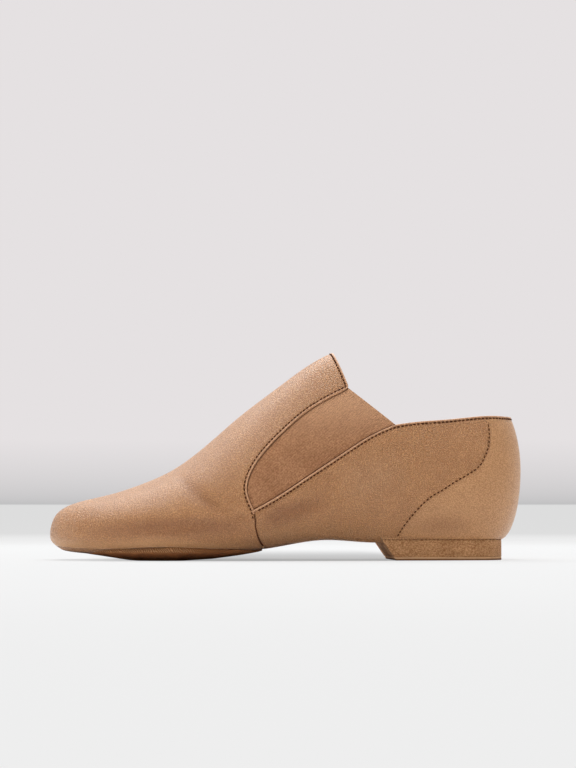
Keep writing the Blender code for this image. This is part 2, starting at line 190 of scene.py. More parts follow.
def last_point(s, v):
    """Points of the last. v runs from -1, the ridge, round the outer side to 0 under the foot
    and round the inner side to 1. Past the last row, s fans round the heel."""
    row = read_last(s)
    share = np.abs(v)
    reach, z = half_section(row.low, row.wide, row.top, row.flat, row.full, share)
    edge = np.where(v > 0, row.inner, -row.outer)
    top = BACK_TOP * INSTEP_HEIGHT
    wide = row.low + BACK_WIDE * (top - row.low)
    back_reach, back_z = half_section(row.low, wide, top, BACK_FLAT, BACK_FULL, share)
    angle = np.clip(s - LAST_ROW, 0, 1) * pi / 2
    backward = np.sin(angle) ** (2 / BACK_ROUND)
    sideways = np.maximum(np.cos(angle), 0.0) ** (2 / BACK_ROUND)
    fan = s > LAST_ROW
    x = np.where(fan, row.x + (HALF_LENGTH - row.x) * back_reach * backward, row.x)
    y = np.where(fan, edge * reach * sideways, row.ridge + (edge - row.ridge) * reach)
    z = np.where(fan, z + (back_z - z) * np.sin(angle) ** 2, z)
    return np.stack((x, y, z), axis=-1)


def run_along(line):
    """How far along a line each of its points lies."""
    return np.concatenate(([0], np.cumsum(np.linalg.norm(np.diff(line, axis=0), axis=1))))


def unit(vectors):
    return vectors / np.maximum(np.linalg.norm(vectors, axis=-1, keepdims=True), 1e-12)


def last_normal(s, v):
    """Outward directions of the last."""
    step = 1e-3
    v_low = np.where(np.abs(v) > 1 - step, 1 - step, v - step)
    v_high = np.where(np.abs(v) > 1 - step, step - 1, v + step)
    along = last_point(np.minimum(s + step, BACK_END), v) - last_point(np.maximum(s - step, 0), v)
    around = last_point(s, v_high) - last_point(s, v_low)
    normal = np.cross(around, along)
    normal[s < step] = (-1, 0, 0)
    normal[(s > LAST_ROW) & (np.abs(v) < step)] = (0, 0, -1)
    normal[(s > LAST_ROW) & (np.abs(v) > 1 - step)] = (0, 0, 1)
    normal[s > BACK_END - step, 1] = 0
    return unit(normal)


def off_last(s, v, distance):
    """Points at a distance outside the last."""
    return last_point(s, v) + last_normal(s, v) * np.reshape(distance, (-1, 1))


def halve(low, high, turns, before):
    """Closes in, from two sides, on the place where before turns from true to false."""
    for _ in range(turns):
        middle = (low + high) / 2
        early = before(middle)
        low, high = np.where(early, middle, low), np.where(early, high, middle)
    return low


def station_at(x):
    """The stations whose sections lie at x."""
    last = np.full_like(x, float(LAST_ROW))
    return halve(np.zeros_like(x), last, 40, lambda s: read_last(s).x < x)


def place_at(s, z):
    """How far round the section, 0 to 1, a height is reached."""
    row = read_last(s)
    under = np.arccos(np.clip((row.wide - z) / (row.wide - row.low), -1, 1))
    over = np.arcsin(np.clip((z - row.wide) / (row.top - row.wide), -1, 1))
    lower = UNDER_SHARE + (0.5 - UNDER_SHARE) * under / (pi / 2)
    return np.where(z < row.wide, lower, 0.5 + over / pi)


def on_last(side_view):
    """Station and place, on the inner side, of points given as X and Z of the side view."""
    side_view = np.asarray(side_view, float)
    s = station_at(side_view[:, 0])
    return s, place_at(s, side_view[:, 1])


print("ball of the foot:", last_point(np.array([6.0]), np.array([-0.5])).round(4))

# %% [markdown]
# ## The edges of the leather
# The pattern of a shoe is cut flat, but its edges are easiest to see from the side: the edge of
# the vamp at the tab, the gore and the side seam, and the edge of the quarter along the gore
# and the collar. Each is a smooth line through a few points of the side view, laid on the last.

# %% Lines of the side view
TAB_LEAN = 0.35
TAB_CORNER = (0.6260, 0.824)
VAMP_EDGE = ((0.5500, 0.731), (0.4890, 0.618), (0.4370, 0.492), (0.4110, 0.385), (0.4090, 0.310))
GORE_POINT = (0.4208, 0.243)
QUARTER_EDGE = ((0.4750, 0.450), (0.5400, 0.590), (0.6080, 0.736), (0.6680, 0.861))
COLLAR_CORNER = (0.7200, 0.937)
COLLAR = ((0.7720, 0.960), (0.8400, 0.978), (0.9060, 1.000), (0.9600, 1.002))
SEAM = ((-18.3, 21.5), (-18.0, 18.0), (-17.3, 14.6), (-15.5, 10.1), (-12.8, 6.8))
COUNTER = (
    (102.0, 70.2), (102.4, 66.5), (102.3, 62.5), (101.8, 58.5), (100.7, 55.2), (99.1, 51.8),
    (97.1, 48.6), (93.4, 45.4), (88.8, 42.7), (83.1, 39.4), (77.9, 36.0), (72.6, 33.0),
    (68.7, 29.9), (65.5, 26.8), (62.9, 23.8), (60.4, 20.7), (58.2, 17.7), (56.3, 14.4), (54.4, 11.0),
)
CRIMP = (
    (1.15, 0.00), (1.25, 0.13), (1.62, 0.24), (2.32, 0.27), (2.82, 0.28), (4.26, 0.315),
    (4.92, 0.345), (5.69, 0.345), (6.66, 0.304), (7.76, 0.254), (8.53, 0.205),
)


def side_points(places, height):
    """Points of a side view in metres."""
    return [(share_x(along), up * height) for along, up in places]


vamp_side = curve_through(side_points((TAB_CORNER, *VAMP_EDGE, GORE_POINT), INSTEP_HEIGHT), 24)
quarter_side = curve_through(
    side_points([GORE_POINT], INSTEP_HEIGHT)
    + side_points((*QUARTER_EDGE, COLLAR_CORNER), COLLAR_HEIGHT), 24)
collar_side = curve_through(side_points((COLLAR_CORNER, *COLLAR), COLLAR_HEIGHT), 24)
seam_side = curve_through([tuple(vamp_side[-1])] + [(x * MM, z * MM) for x, z in SEAM], 12)
print("vamp edge, quarter edge, collar, seam:", len(vamp_side), len(quarter_side), len(collar_side))


# %% The tab's top line and the whole edge of the vamp
def arc_corner(before, corner, after, radius):
    """Points that round a corner between two directions."""
    before, corner, after = (np.array(point, float) for point in (before, corner, after))
    start = corner + unit(before - corner) * radius
    end = corner + unit(after - corner) * radius
    t = np.linspace(0, 1, CORNER_POINTS)[:, None]
    return (1 - t) ** 2 * start + 2 * t * (1 - t) * corner + t**2 * end


CORNER_RADIUS = 2.0 * MM
CORNER_POINTS = 7
RIDGE_BEFORE_TAB = 6.0 * MM
UNDER_FOOT = ((8.51, 0.2), (8.48, 0.15), (8.43, 0.08), (8.40, 0.0))
tab_corner = vamp_side[0]
ridge_top = float(read_last(station_at(tab_corner[:1] - RIDGE_BEFORE_TAB)).top[0])
tab_rise = ridge_top - tab_corner[1]
tab_top = tab_corner + np.array((-TAB_LEAN * tab_rise, tab_rise))
rounded = arc_corner(tab_top, tab_corner, vamp_side[3], CORNER_RADIUS)
after_corner = vamp_side[np.linalg.norm(vamp_side - tab_corner, axis=1) > CORNER_RADIUS]
t = np.linspace(0, 1, 30)[:-1, None]
tab_line = tab_top + (rounded[0] - tab_top) * t
vamp_line_s, vamp_line_v = on_last(np.vstack((tab_line, rounded, after_corner, seam_side[1:])))
vamp_line_v[0] = 1.0
vamp_line_s = np.append(vamp_line_s, [s for s, v in UNDER_FOOT])
vamp_line_v = np.append(vamp_line_v, [v for s, v in UNDER_FOOT])
print("vamp edge from v", vamp_line_v[0].round(3), "to", vamp_line_v[-1], "s", vamp_line_s.max().round(2))

# %% The whole top line of the quarter
TOP_DROP = 0.5 * MM
top_side = np.vstack((quarter_side, collar_side[1:])) - (0, TOP_DROP)
START_STEPS = 14
PAST_BACK = 0.14
below_point = quarter_side[0] - (quarter_side[1] - quarter_side[0]) * START_STEPS
over_back = np.array((PAST_BACK, collar_side[-1][1]))
top_side_open = np.vstack(([below_point], top_side, [over_back]))


def top_place(s):
    """How far round the section the quarter's top line lies at stations s."""
    def under(v):
        point = last_point(s, v)
        return point[:, 2] < np.interp(point[:, 0], top_side_open[:, 0], top_side_open[:, 1])
    return halve(np.full_like(s, 0.45), np.full_like(s, 0.95), 36, under)


gore_point_s, gore_point_v = on_last([vamp_side[-1]])
print("gore point at", gore_point_s.round(3), gore_point_v.round(3))

# %% [markdown]
# ## Sheets on the last
# A panel could be cut out of a big mesh with a Boolean, but that leaves ragged triangles along
# its edge. Here a flat grid is made first, and its corners are then moved onto the last so that
# its border follows the panel's own edges. Solidify gives the leather its thickness, inwards.


# %% A grid laid on the last
SAME_SPOT = 1e-6


def grid_corners(bm, columns, rows):
    """A grid, and its corners as arrays from 0 to 1 along and around."""
    grid = bmesh.ops.create_grid(bm, x_segments=columns, y_segments=rows, size=0.5)
    verts = grid["verts"]
    spots = np.array([vert.co for vert in verts])[:, :2] + 0.5
    return verts, spots[:, 0], spots[:, 1]


def set_corners(verts, points):
    for vert, point in zip(verts, points):
        vert.co = point


def face_outward(bm, verts, outward):
    """Turns the whole sheet over if its faces point into the last."""
    bm.normal_update()
    agree = sum(vert.normal.dot(Vector(way)) for vert, way in zip(verts, outward))
    if agree < 0:
        bmesh.ops.reverse_faces(bm, faces=bm.faces)


def leather_sheet(columns, rows, place, distance, thickness):
    """A sheet on the last. place(a, b) gives its stations and places, distance(s, v) its height."""
    bm = bmesh.new()
    verts, a, b = grid_corners(bm, columns, rows)
    s, v = place(a, b)
    outward = last_normal(s, v)
    set_corners(verts, last_point(s, v) + outward * np.reshape(distance(s, v), (-1, 1)))
    face_outward(bm, verts, outward)
    bmesh.ops.remove_doubles(bm, verts=bm.verts, dist=SAME_SPOT)
    bmesh.ops.solidify(bm, geom=list(bm.faces), thickness=thickness)
    return bm


def close_up(bm):
    """Joins the seams of a swept sheet and fills its open ends."""
    bmesh.ops.remove_doubles(bm, verts=bm.verts, dist=SAME_SPOT)
    bmesh.ops.holes_fill(bm, edges=bm.edges, sides=0)
    bmesh.ops.recalc_face_normals(bm, faces=bm.faces)


def break_edges(bm, offset, angle=50):
    """Rounds the sharp edges of a solid a little."""
    sharp = [edge for edge in bm.edges if edge.calc_face_angle(0) > radians(angle)]
    bmesh.ops.bevel(
        bm, geom=sharp, offset=offset, offset_type="OFFSET", segments=2, profile=0.5,
        affect="EDGES", material=-1)


def smoothstep(low, high, value):
    t = np.clip((value - low) / (high - low), 0, 1)
    return t * t * (3 - 2 * t)


print("sheets ready")


# %% Make an object from a bmesh
SHARP = radians(35)


def smooth_mesh(name, bm):
    """A smooth mesh made of a bmesh, which is then freed."""
    mesh = bpy.data.meshes.new(name)
    bm.to_mesh(mesh)
    bm.free()
    mesh.shade_smooth()
    return mesh


def add_object(name, data):
    """An object in the scene."""
    made = bpy.data.objects.new(name, data)
    bpy.context.scene.collection.objects.link(made)
    return made


def add_piece(name, bm, material, slot, *nodes):
    """A piece of the shoe that rides on the body, and stands for the solids named."""
    mesh = smooth_mesh(name, bm)
    mesh.set_sharp_from_angle(angle=SHARP)
    mesh.materials.append(material)
    piece = add_object(name, mesh)
    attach(piece, "root")
    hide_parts(*nodes)
    triangles = sum(len(face.vertices) - 2 for face in mesh.polygons)
    print(name, "has", triangles, "triangles")
    return piece


# %% [markdown]
# ## Shared effects for the materials
# Grain, weave and nap are patterns that several materials need, so each is a node group that is
# built once. The groups give only heights and masks. Every material keeps its own shader.


# %% Node trees with short names
def linear(*rgb):
    """Colour values from 0 to 255, as seen on screen, made linear."""
    def one(value):
        value /= 255
        return value / 12.92 if value <= 0.04045 else ((value + 0.055) / 1.055) ** 2.4
    return (*(one(value) for value in rgb), 1.0)


class Wiring:
    """A node tree that is being built, with short names for the nodes that are used most."""

    def __init__(self, tree):
        self.tree = tree

    def node(self, kind, values=None, **settings):
        """A node with its settings, and its inputs set or linked."""
        made = self.tree.nodes.new(kind)
        for key, value in settings.items():
            setattr(made, key, value)
        for key, value in (values or {}).items():
            if isinstance(value, bpy.types.NodeSocket):
                self.tree.links.new(value, made.inputs[key])
            else:
                made.inputs[key].default_value = value
        return made

    def maths(self, operation, first, second=0.0, third=0.0):
        values = {0: first, 1: second, 2: third}
        return self.node("ShaderNodeMath", values, operation=operation).outputs[0]

    def times(self, first, *others):
        for other in others:
            first = self.maths("MULTIPLY", first, other)
        return first

    def times_plus(self, first, second, third):
        return self.maths("MULTIPLY_ADD", first, second, third)

    def ramp(self, value, low, high, to_low=0.0, to_high=1.0, smooth=True):
        """A value carried from one range to another, clamped."""
        kind = "SMOOTHSTEP" if smooth else "LINEAR"
        values = {"Value": value, "From Min": low, "From Max": high, "To Min": to_low, "To Max": to_high}
        return self.node("ShaderNodeMapRange", values, interpolation_type=kind).outputs["Result"]

    def line(self, value, half_width, strength):
        """A soft line where a value passes zero."""
        return self.ramp(self.maths("ABSOLUTE", value), 0.25 * half_width, half_width, strength, 0.0)

    def wave(self, value, pitch):
        return self.maths("SINE", self.times(value, 2 * pi / pitch))

    def place(self):
        return self.node("ShaderNodeTexCoord").outputs["Object"]

    def axes(self, place):
        return self.node("ShaderNodeSeparateXYZ", {"Vector": place}).outputs

    def mapped(self, place, **values):
        return self.node("ShaderNodeMapping", {"Vector": place, **values}).outputs[0]

    def noise(self, place, scale, detail=2.0, roughness=0.5):
        values = {"Vector": place, "Scale": scale, "Detail": detail, "Roughness": roughness}
        return self.node("ShaderNodeTexNoise", values).outputs["Fac"]

    def attribute(self, name):
        made = self.node("ShaderNodeAttribute", attribute_name=name, attribute_type="GEOMETRY")
        return made.outputs["Fac"]

    def mix(self, factor, first, second, blend="MIX"):
        """One colour over another."""
        values = {0: factor, 6: first, 7: second}
        return self.node("ShaderNodeMix", values, data_type="RGBA", blend_type=blend).outputs[2]

    def use(self, group, **values):
        """The outputs of a shared group."""
        made = self.node("ShaderNodeGroup", node_tree=group.tree)
        for key, value in values.items():
            made.inputs[key.replace("_", " ")].default_value = value
        return made.outputs


class Group(Wiring):
    """A shared node group of numbers. inputs maps names to values, outputs lists names."""

    def __init__(self, name, inputs, outputs):
        super().__init__(bpy.data.node_groups.new(name, "ShaderNodeTree"))
        for label, value in inputs.items():
            socket = self.tree.interface.new_socket(label, in_out="INPUT", socket_type="NodeSocketFloat")
            socket.default_value = value
        for label in outputs:
            self.tree.interface.new_socket(label, in_out="OUTPUT", socket_type="NodeSocketFloat")
        self.given = self.node("NodeGroupInput").outputs
        self.wanted = self.node("NodeGroupOutput").inputs

    def give(self, **values):
        for label, value in values.items():
            self.tree.links.new(value, self.wanted[label])
        print("group", self.tree.name)


# %% Grain of soft leather
GRAIN_WARP = 1.2 * MM
grain = Group("leather_grain", {"Pores per metre": 900.0, "Fine": 0.6}, ("Height", "Tone", "Broad"))
place = grain.place()
warp = grain.node("ShaderNodeTexNoise", {"Vector": place, "Scale": 420.0, "Detail": 2.0}).outputs["Color"]
moved = grain.node("ShaderNodeVectorMath", {0: warp, 1: (GRAIN_WARP,) * 3}, operation="MULTIPLY")
bent = grain.node("ShaderNodeVectorMath", {0: place, 1: moved.outputs[0]}, operation="ADD").outputs[0]
cells = grain.node(
    "ShaderNodeTexVoronoi", {"Vector": bent, "Scale": grain.given["Pores per metre"]},
    feature="F1").outputs["Distance"]
pebble = grain.ramp(cells, 0.05, 0.65, 1.0, 0.0)
fine = grain.noise(place, 3200.0, 3.0, 0.6)
grain.give(
    Height=grain.times_plus(fine, grain.given["Fine"], pebble),
    Tone=grain.times_plus(fine, 0.5, grain.times(pebble, 0.5)),
    Broad=grain.noise(place, 55.0, 4.0, 0.55))

# %% Nap of suede
nap = Group("suede_nap", {"Hairs per metre": 2300.0}, ("Height", "Tone", "Broad"))
place = nap.place()
stretch = nap.mapped(place, Scale=(0.6, 0.6, 1.3))
hairs = nap.noise(stretch, nap.given["Hairs per metre"], 4.0, 0.7)
clumps = nap.noise(place, 900.0, 3.0, 0.6)
nap.give(
    Height=nap.times_plus(clumps, 0.6, hairs),
    Tone=nap.times_plus(clumps, 0.3, nap.times(hairs, 0.7)),
    Broad=nap.noise(place, 90.0, 3.0, 0.5))

# %% Weave of fine elastic
GORE_TURN = radians(41)
weave = Group("elastic_weave", {"Threads per metre": 1250.0}, ("Height", "Tone"))
turned = weave.mapped(weave.place(), Rotation=(0.0, GORE_TURN, 0.0))
apart = weave.axes(turned)
rate = weave.times(weave.given["Threads per metre"], 2 * pi)
along_wave = weave.maths("SINE", weave.times(apart["X"], rate))
across_wave = weave.maths("SINE", weave.times(apart["Z"], weave.times(rate, 0.7)))
crossed = weave.times(along_wave, across_wave)
threads = weave.ramp(weave.times_plus(across_wave, 0.6, crossed), -1.6, 1.6, smooth=False)
fuzz = weave.ramp(weave.noise(turned, 1250.0, 3.0, 0.6), 0.32, 0.68)
weave.give(
    Height=weave.times_plus(fuzz, 0.5, threads),
    Tone=weave.times_plus(fuzz, 0.6, weave.times(threads, 0.4)))

# %% [markdown]
# ## Materials
# Soft full-grain leather has small pores and a low sheen, and it is darker along its seams.
# Painted light makes it lighter on its bulges and low down, and painted shade makes it darker in
# its creases and where the vamp turns under the foot. The mesh carries its distance from the
# nearest seam and the depth of its creases as attributes, so these lines can be finer than the mesh.


# %% A material in the making
class Finish(Wiring):
    """A material that is being made, with its colour so far."""

    def __init__(self, name, roughness, specular, sheen=0.0):
        self.material = bpy.data.materials.new(name)
        self.material.use_nodes = True
        super().__init__(self.material.node_tree)
        self.inputs = self.tree.nodes["Principled BSDF"].inputs
        self.inputs["Roughness"].default_value = roughness
        self.inputs["Specular IOR Level"].default_value = specular
        self.inputs["Sheen Weight"].default_value = sheen
        self.inputs["Sheen Roughness"].default_value = 0.5
        self.base = None

    def blend(self, factor, first, second):
        """Starts the colour as a blend of two."""
        self.base = self.mix(factor, linear(*first), linear(*second))

    def tint(self, factor, rgb):
        """Lays a colour over the colour so far."""
        self.base = self.mix(factor, self.base, linear(*rgb))

    def multiplied(self, rgb):
        return self.mix(1.0, self.base, linear(*rgb), "MULTIPLY")

    def shade(self, factor, rgb):
        """Multiplies the colour so far where factor is 1."""
        self.base = self.mix(factor, self.base, self.multiplied(rgb))

    def spare(self, factor, rgb):
        """Multiplies the colour so far where factor is 0."""
        self.base = self.mix(factor, self.multiplied(rgb), self.base)

    def finish(self, height, depth):
        """Gives the shader its colour, and bumps from a height that depth turns into metres."""
        self.tree.links.new(self.base, self.inputs["Base Color"])
        bump = self.node("ShaderNodeBump", {"Strength": 1.0, "Distance": depth, "Height": height})
        self.tree.links.new(bump.outputs["Normal"], self.inputs["Normal"])
        print("material", self.material.name)
        return self.material


# %% Leather of the upper
TAN, BROAD_TAN = (197, 141, 88), (204, 148, 94)
LOW_LIGHT_TAN, COUNTER_TAN, BULGE_HIGHLIGHT_TAN = (204, 154, 104), (189, 140, 91), (204, 156, 114)
PORE_SHADE, CREASE_SHADE, SEAM_BROWN = (202, 187, 171), (222, 209, 191), (120, 76, 48)
UNDER_SHADE_BROWN, DEEP_SHADE_BROWN, PLEAT_HIGHLIGHT_TAN = (132, 88, 54), (74, 42, 20), (190, 140, 98)
CRIMP_SHADE_BROWN, CRIMP_HIGHLIGHT_PALE = (92, 55, 30), (222, 178, 138)
PORE_HEIGHT = 4.4
PLEAT_PITCH = 1.15
SWAY = 260.0


def counter_finish(leather, tone, grained):
    """Behind the counter's stitches the leather is smooth, a little yellower and finely wrinkled."""
    place = leather.place()
    counter = leather.attribute("counter_mm")
    behind = leather.ramp(counter, -1.0, 3.0)
    leather.tint(leather.times(behind, 0.7), COUNTER_TAN)
    tone = leather.maths("ADD", tone, leather.times(behind, 0.25))
    grained = leather.times(grained, leather.ramp(behind, 0.0, 1.0, 1.0, 0.4, smooth=False))
    grained = leather.maths("SUBTRACT", grained, leather.line(counter, 0.9, 2.6))
    # Painted light: the quarter is paler low down, near the floor, and less so behind the counter.
    low = leather.ramp(leather.axes(place)["Z"], 0.012, 0.022, 0.5, 0.0)
    leather.tint(leather.times(low, leather.ramp(behind, 0.0, 1.0, 1.0, 0.2)), LOW_LIGHT_TAN)
    wrinkles = leather.noise(leather.mapped(place, Scale=(0.1, 0.1, 1.0)), 420.0)
    return tone, leather.times_plus(wrinkles, leather.times(behind, 4.0), grained)


def crimp_finish(leather, grained):
    """On the vamp: painted light above the sole, pleats with painted highlights and a painted shade line
    at it, and painted shade below.
    """
    place = leather.place()
    crimp, run = leather.attribute("crimp_mm"), leather.attribute("crimp_run_mm")
    # Painted light: the vamp is paler a few millimetres above the crimp line.
    above = leather.ramp(crimp, -8.0, -2.0, 0.0, 0.5)
    leather.tint(leather.times(above, leather.ramp(crimp, -0.6, 0.0, 1.0, 0.0)), LOW_LIGHT_TAN)
    # Painted shade: darker below the crimp line, and much darker further down where the upper turns
    # under.
    leather.tint(leather.times(leather.ramp(crimp, -0.2, 0.8), 0.22), UNDER_SHADE_BROWN)
    leather.tint(leather.times(leather.ramp(crimp, 0.9, 4.4), 0.70), DEEP_SHADE_BROWN)
    sway = leather.noise(place, SWAY)
    slant = leather.times_plus(crimp, 0.9, leather.times_plus(sway, 2.2, run))
    pleat = leather.wave(slant, PLEAT_PITCH)
    held = leather.times(leather.ramp(crimp, 0.2, 0.9), leather.ramp(crimp, 1.6, 3.2, 1.0, 0.0))
    held = leather.times(held, leather.ramp(leather.axes(place)["X"], -0.052, -0.036, 1.0, 0.15))
    # Painted highlights on the crests of the pleats.
    leather.tint(leather.times(leather.ramp(pleat, 0.0, 0.9), leather.times(held, 0.4)), PLEAT_HIGHLIGHT_TAN)
    grained = leather.times_plus(pleat, leather.times(held, 1.6), grained)
    waver = leather.times_plus(sway, 0.8, leather.maths("SUBTRACT", crimp, 0.4))
    # Painted shade in the groove of the crimp line, and a painted highlight on its lip just above.
    leather.tint(leather.line(waver, 0.5, 0.6), CRIMP_SHADE_BROWN)
    leather.tint(leather.line(leather.maths("ADD", waver, 0.9), 0.6, 0.35), CRIMP_HIGHLIGHT_PALE)
    return leather.maths("SUBTRACT", grained, leather.line(waver, 0.8, 2.5))


def leather_finish(name, pores, on_quarter):
    leather = Finish(name, 0.5, 0.55, 0.06)
    leather.inputs["Coat Weight"].default_value = 0.30
    leather.inputs["Coat Roughness"].default_value = 0.42
    uses = leather.use(grain, Pores_per_metre=pores)
    leather.blend(leather.ramp(uses["Broad"], 0.35, 0.65), TAN, BROAD_TAN)
    tone = leather.ramp(uses["Tone"], 0.24, 0.50)
    rough = leather.ramp(tone, 0.0, 1.0, 0.6, 0.42, smooth=False)
    leather.tree.links.new(rough, leather.inputs["Roughness"])
    grained = leather.times(uses["Height"], PORE_HEIGHT)
    if on_quarter:
        tone, grained = counter_finish(leather, tone, grained)
    crease = leather.attribute("crease_mm")
    # Painted highlight: the leather is lighter where it bulges out.
    leather.tint(leather.ramp(crease, -0.7, 0.0, 0.4, 0.0), BULGE_HIGHLIGHT_TAN)
    leather.spare(tone, PORE_SHADE)
    # Painted shade: the leather is darker in its creases.
    leather.shade(leather.ramp(crease, 0.1, 1.3), CREASE_SHADE)
    leather.tint(leather.ramp(leather.attribute("seam_mm"), 0.0, 0.8, 0.35, 0.0), SEAM_BROWN)
    if not on_quarter:
        grained = crimp_finish(leather, grained)
    return leather.finish(grained, 0.1 * MM)


vamp_leather = leather_finish("vamp_leather", 1500.0, on_quarter=False)
quarter_leather = leather_finish("quarter_leather", 1600.0, on_quarter=True)


# %% Folded edges, thread and elastic
def edge_finish():
    edge = Finish("edge_leather", 0.45, 0.4, 0.1)
    uses = edge.use(grain, Pores_per_metre=1500.0)
    edge.blend(edge.ramp(uses["Tone"], 0.2, 0.75), (172, 124, 88), (208, 162, 124))
    return edge.finish(uses["Height"], 0.05 * MM)


def thread_finish():
    yarn = Finish("brown_thread", 0.8, 0.12)
    uses = yarn.use(nap, Hairs_per_metre=6000.0)
    yarn.blend(uses["Tone"], (52, 26, 12), (92, 50, 26))
    return yarn.finish(uses["Height"], 0.03 * MM)


def elastic_finish():
    """Elastic with painted light towards its free top edge, and painted shade where it goes behind the
    leather.
    """
    band = Finish("tan_elastic", 0.9, 0.15, 0.08)
    place, uses = band.place(), band.use(weave)
    band.blend(uses["Tone"], (132, 88, 58), (196, 144, 104))
    band.spare(band.ramp(band.noise(place, 70.0, 3.0), 0.3, 0.7), (238, 234, 232))
    # Painted light: the elastic is lighter towards its top.
    band.tint(band.ramp(band.axes(place)["Z"], 0.055, 0.088, 0.0, 0.5), (222, 174, 136))
    # Painted shade: the elastic is darker where it meets the edge of the leather.
    band.tint(band.ramp(band.attribute("seam_mm"), 0.02, 0.3, 0.85, 0.0), (74, 44, 26))
    return band.finish(uses["Height"], 0.3 * MM)


edge_leather, thread, elastic = edge_finish(), thread_finish(), elastic_finish()

# %% Suede, rubber and cloth
HEEL_LINE = 10.8 * MM
LIFT_LINE = 1.3 * MM
HEEL_STITCH = 2.1 * MM


def heel_suede_finish():
    """Suede with a dark stitched line at its top and a painted highlight along its foot."""
    hide = Finish("tan_suede", 0.95, 0.12, 0.08)
    apart, uses = hide.axes(hide.place()), hide.use(nap)
    hide.blend(hide.ramp(uses["Tone"], 0.36, 0.66), (144, 96, 60), (218, 170, 122))
    hide.spare(hide.ramp(uses["Broad"], 0.3, 0.7), (232, 226, 222))
    dashes = hide.ramp(hide.wave(apart["X"], HEEL_STITCH), -0.5, 0.3, 0.35, 0.9)
    top = hide.ramp(apart["Z"], HEEL_LINE - 0.7 * MM, HEEL_LINE - 0.3 * MM)
    # Painted highlight: a pale band along the foot of the heel, where it meets the lift.
    foot = hide.ramp(apart["Z"], LIFT_LINE + 0.2 * MM, LIFT_LINE + 0.6 * MM, 0.8, 0.0)
    hide.tint(hide.times(top, dashes), (74, 42, 24))
    hide.tint(foot, (214, 168, 124))
    return hide.finish(uses["Height"], 0.4 * MM)


def sole_suede_finish():
    """Suede with painted shade low down, lighter and pleated where it meets the leather at the outer side
    of the ball, with painted highlights on the pleats.
    """
    hide = Finish("sole_suede_painted_shading", 0.85, 0.2)
    place, uses = hide.place(), hide.use(nap)
    apart = hide.axes(place)
    hide.blend(hide.ramp(uses["Tone"], 0.3, 0.7), (122, 78, 44), (168, 116, 72))
    hide.spare(hide.ramp(uses["Broad"], 0.4, 0.7), (212, 202, 194))
    # Painted shade: the suede is darker low down, under the foot, and a plain lighter brown higher up.
    high = hide.ramp(apart["Z"], 2.4 * MM, 6.4 * MM)
    hide.base = hide.mix(high, hide.multiplied((236, 220, 204)), linear(160, 108, 66))
    sway = hide.times_plus(hide.noise(place, SWAY), 4.0 * MM, apart["X"])
    pleat = hide.wave(hide.times_plus(apart["Z"], 0.8, sway), PLEAT_PITCH * MM)
    held = hide.times(
        hide.ramp(apart["Z"], 3.8 * MM, 5.2 * MM), hide.ramp(apart["X"], -0.056, -0.044, 1.0, 0.15))
    # Painted highlights on the crests of the pleats.
    hide.tint(hide.times(hide.ramp(pleat, -0.1, 0.8), held), (202, 152, 108))
    return hide.finish(hide.times_plus(pleat, hide.times(held, 1.2), uses["Height"]), 0.3 * MM)


def rubber_finish():
    tread = Finish("heel_rubber", 0.75, 0.3)
    uses = tread.use(nap, Hairs_per_metre=1500.0)
    tread.blend(uses["Tone"], (98, 62, 38), (150, 104, 68))
    # Painted highlight: a pale band along the top of the lift, where it meets the heel.
    pale = tread.ramp(tread.axes(tread.place())["Z"], 0.8 * MM, LIFT_LINE - 0.2 * MM, 0.0, 0.9)
    tread.tint(pale, (222, 178, 134))
    return tread.finish(uses["Height"], 0.15 * MM)


def cloth_finish():
    twill = Finish("lining_cloth", 0.9, 0.2, 0.3)
    uses = twill.use(weave, Threads_per_metre=1300.0)
    twill.blend(uses["Tone"], (178, 146, 112), (222, 194, 160))
    return twill.finish(uses["Height"], 0.2 * MM)


suede, sole_suede = heel_suede_finish(), sole_suede_finish()
rubber, cloth = rubber_finish(), cloth_finish()

# %% [markdown]
# ## Paths for folded edges and stitches
# A folded edge and a row of stitches both follow a line on the last. A path keeps the points of
# such a line evenly spaced, with the directions off the leather and across the line.

# %% Even paths on the last
Path = namedtuple("Path", "points off across")


def even_path(s, v, step):
    """A line of stations and places, made evenly spaced in metres."""
    run = run_along(last_point(s, v))
    count = max(int(run[-1] / step), 2)
    spots = np.linspace(0, run[-1], count + 1)
    s, v = np.interp(spots, run, s), np.interp(spots, run, v)
    points, off = last_point(s, v), last_normal(s, v)
    along = unit(np.gradient(points, axis=0))
    return Path(points, off, unit(np.cross(off, along)))


def distances(points, line):
    """Distance of each point to the nearest spot of a line, in metres, and that spot's number."""
    tree = KDTree(len(line))
    for i, spot in enumerate(line):
        tree.insert(spot, i)
    tree.balance()
    found = [tree.find(point) for point in points]
    return np.array([hit[2] for hit in found]), np.array([hit[1] for hit in found])


def beside(points, path):
    """Distance of each point to a path, positive on the side that the path's across points to."""
    size, nearest = distances(points, path.points)
    side = ((points - path.points[nearest]) * path.across[nearest]).sum(axis=1)
    return np.where(side < 0, -size, size)


def both_sides(s, v):
    """A line on the outer side, followed by the same line back on the inner side."""
    return np.concatenate((s, s[::-1])), np.concatenate((-v, v[::-1]))


FINE = 0.15 * MM
vamp_fine = even_path(*both_sides(vamp_line_s[::-1], vamp_line_v[::-1]), FINE)
top_s = np.linspace(gore_point_s[0] - 0.06, BACK_END, 400)
top_line = both_sides(top_s, top_place(top_s))
top_fine = even_path(*top_line, FINE)
print("length of the vamp's edge in mm:", round(len(vamp_fine.points) * FINE / MM))


def seam_distance(points):
    """Distance of each point to the nearest edge of leather, in metres."""
    return np.minimum(distances(points, vamp_fine.points)[0], distances(points, top_fine.points)[0])


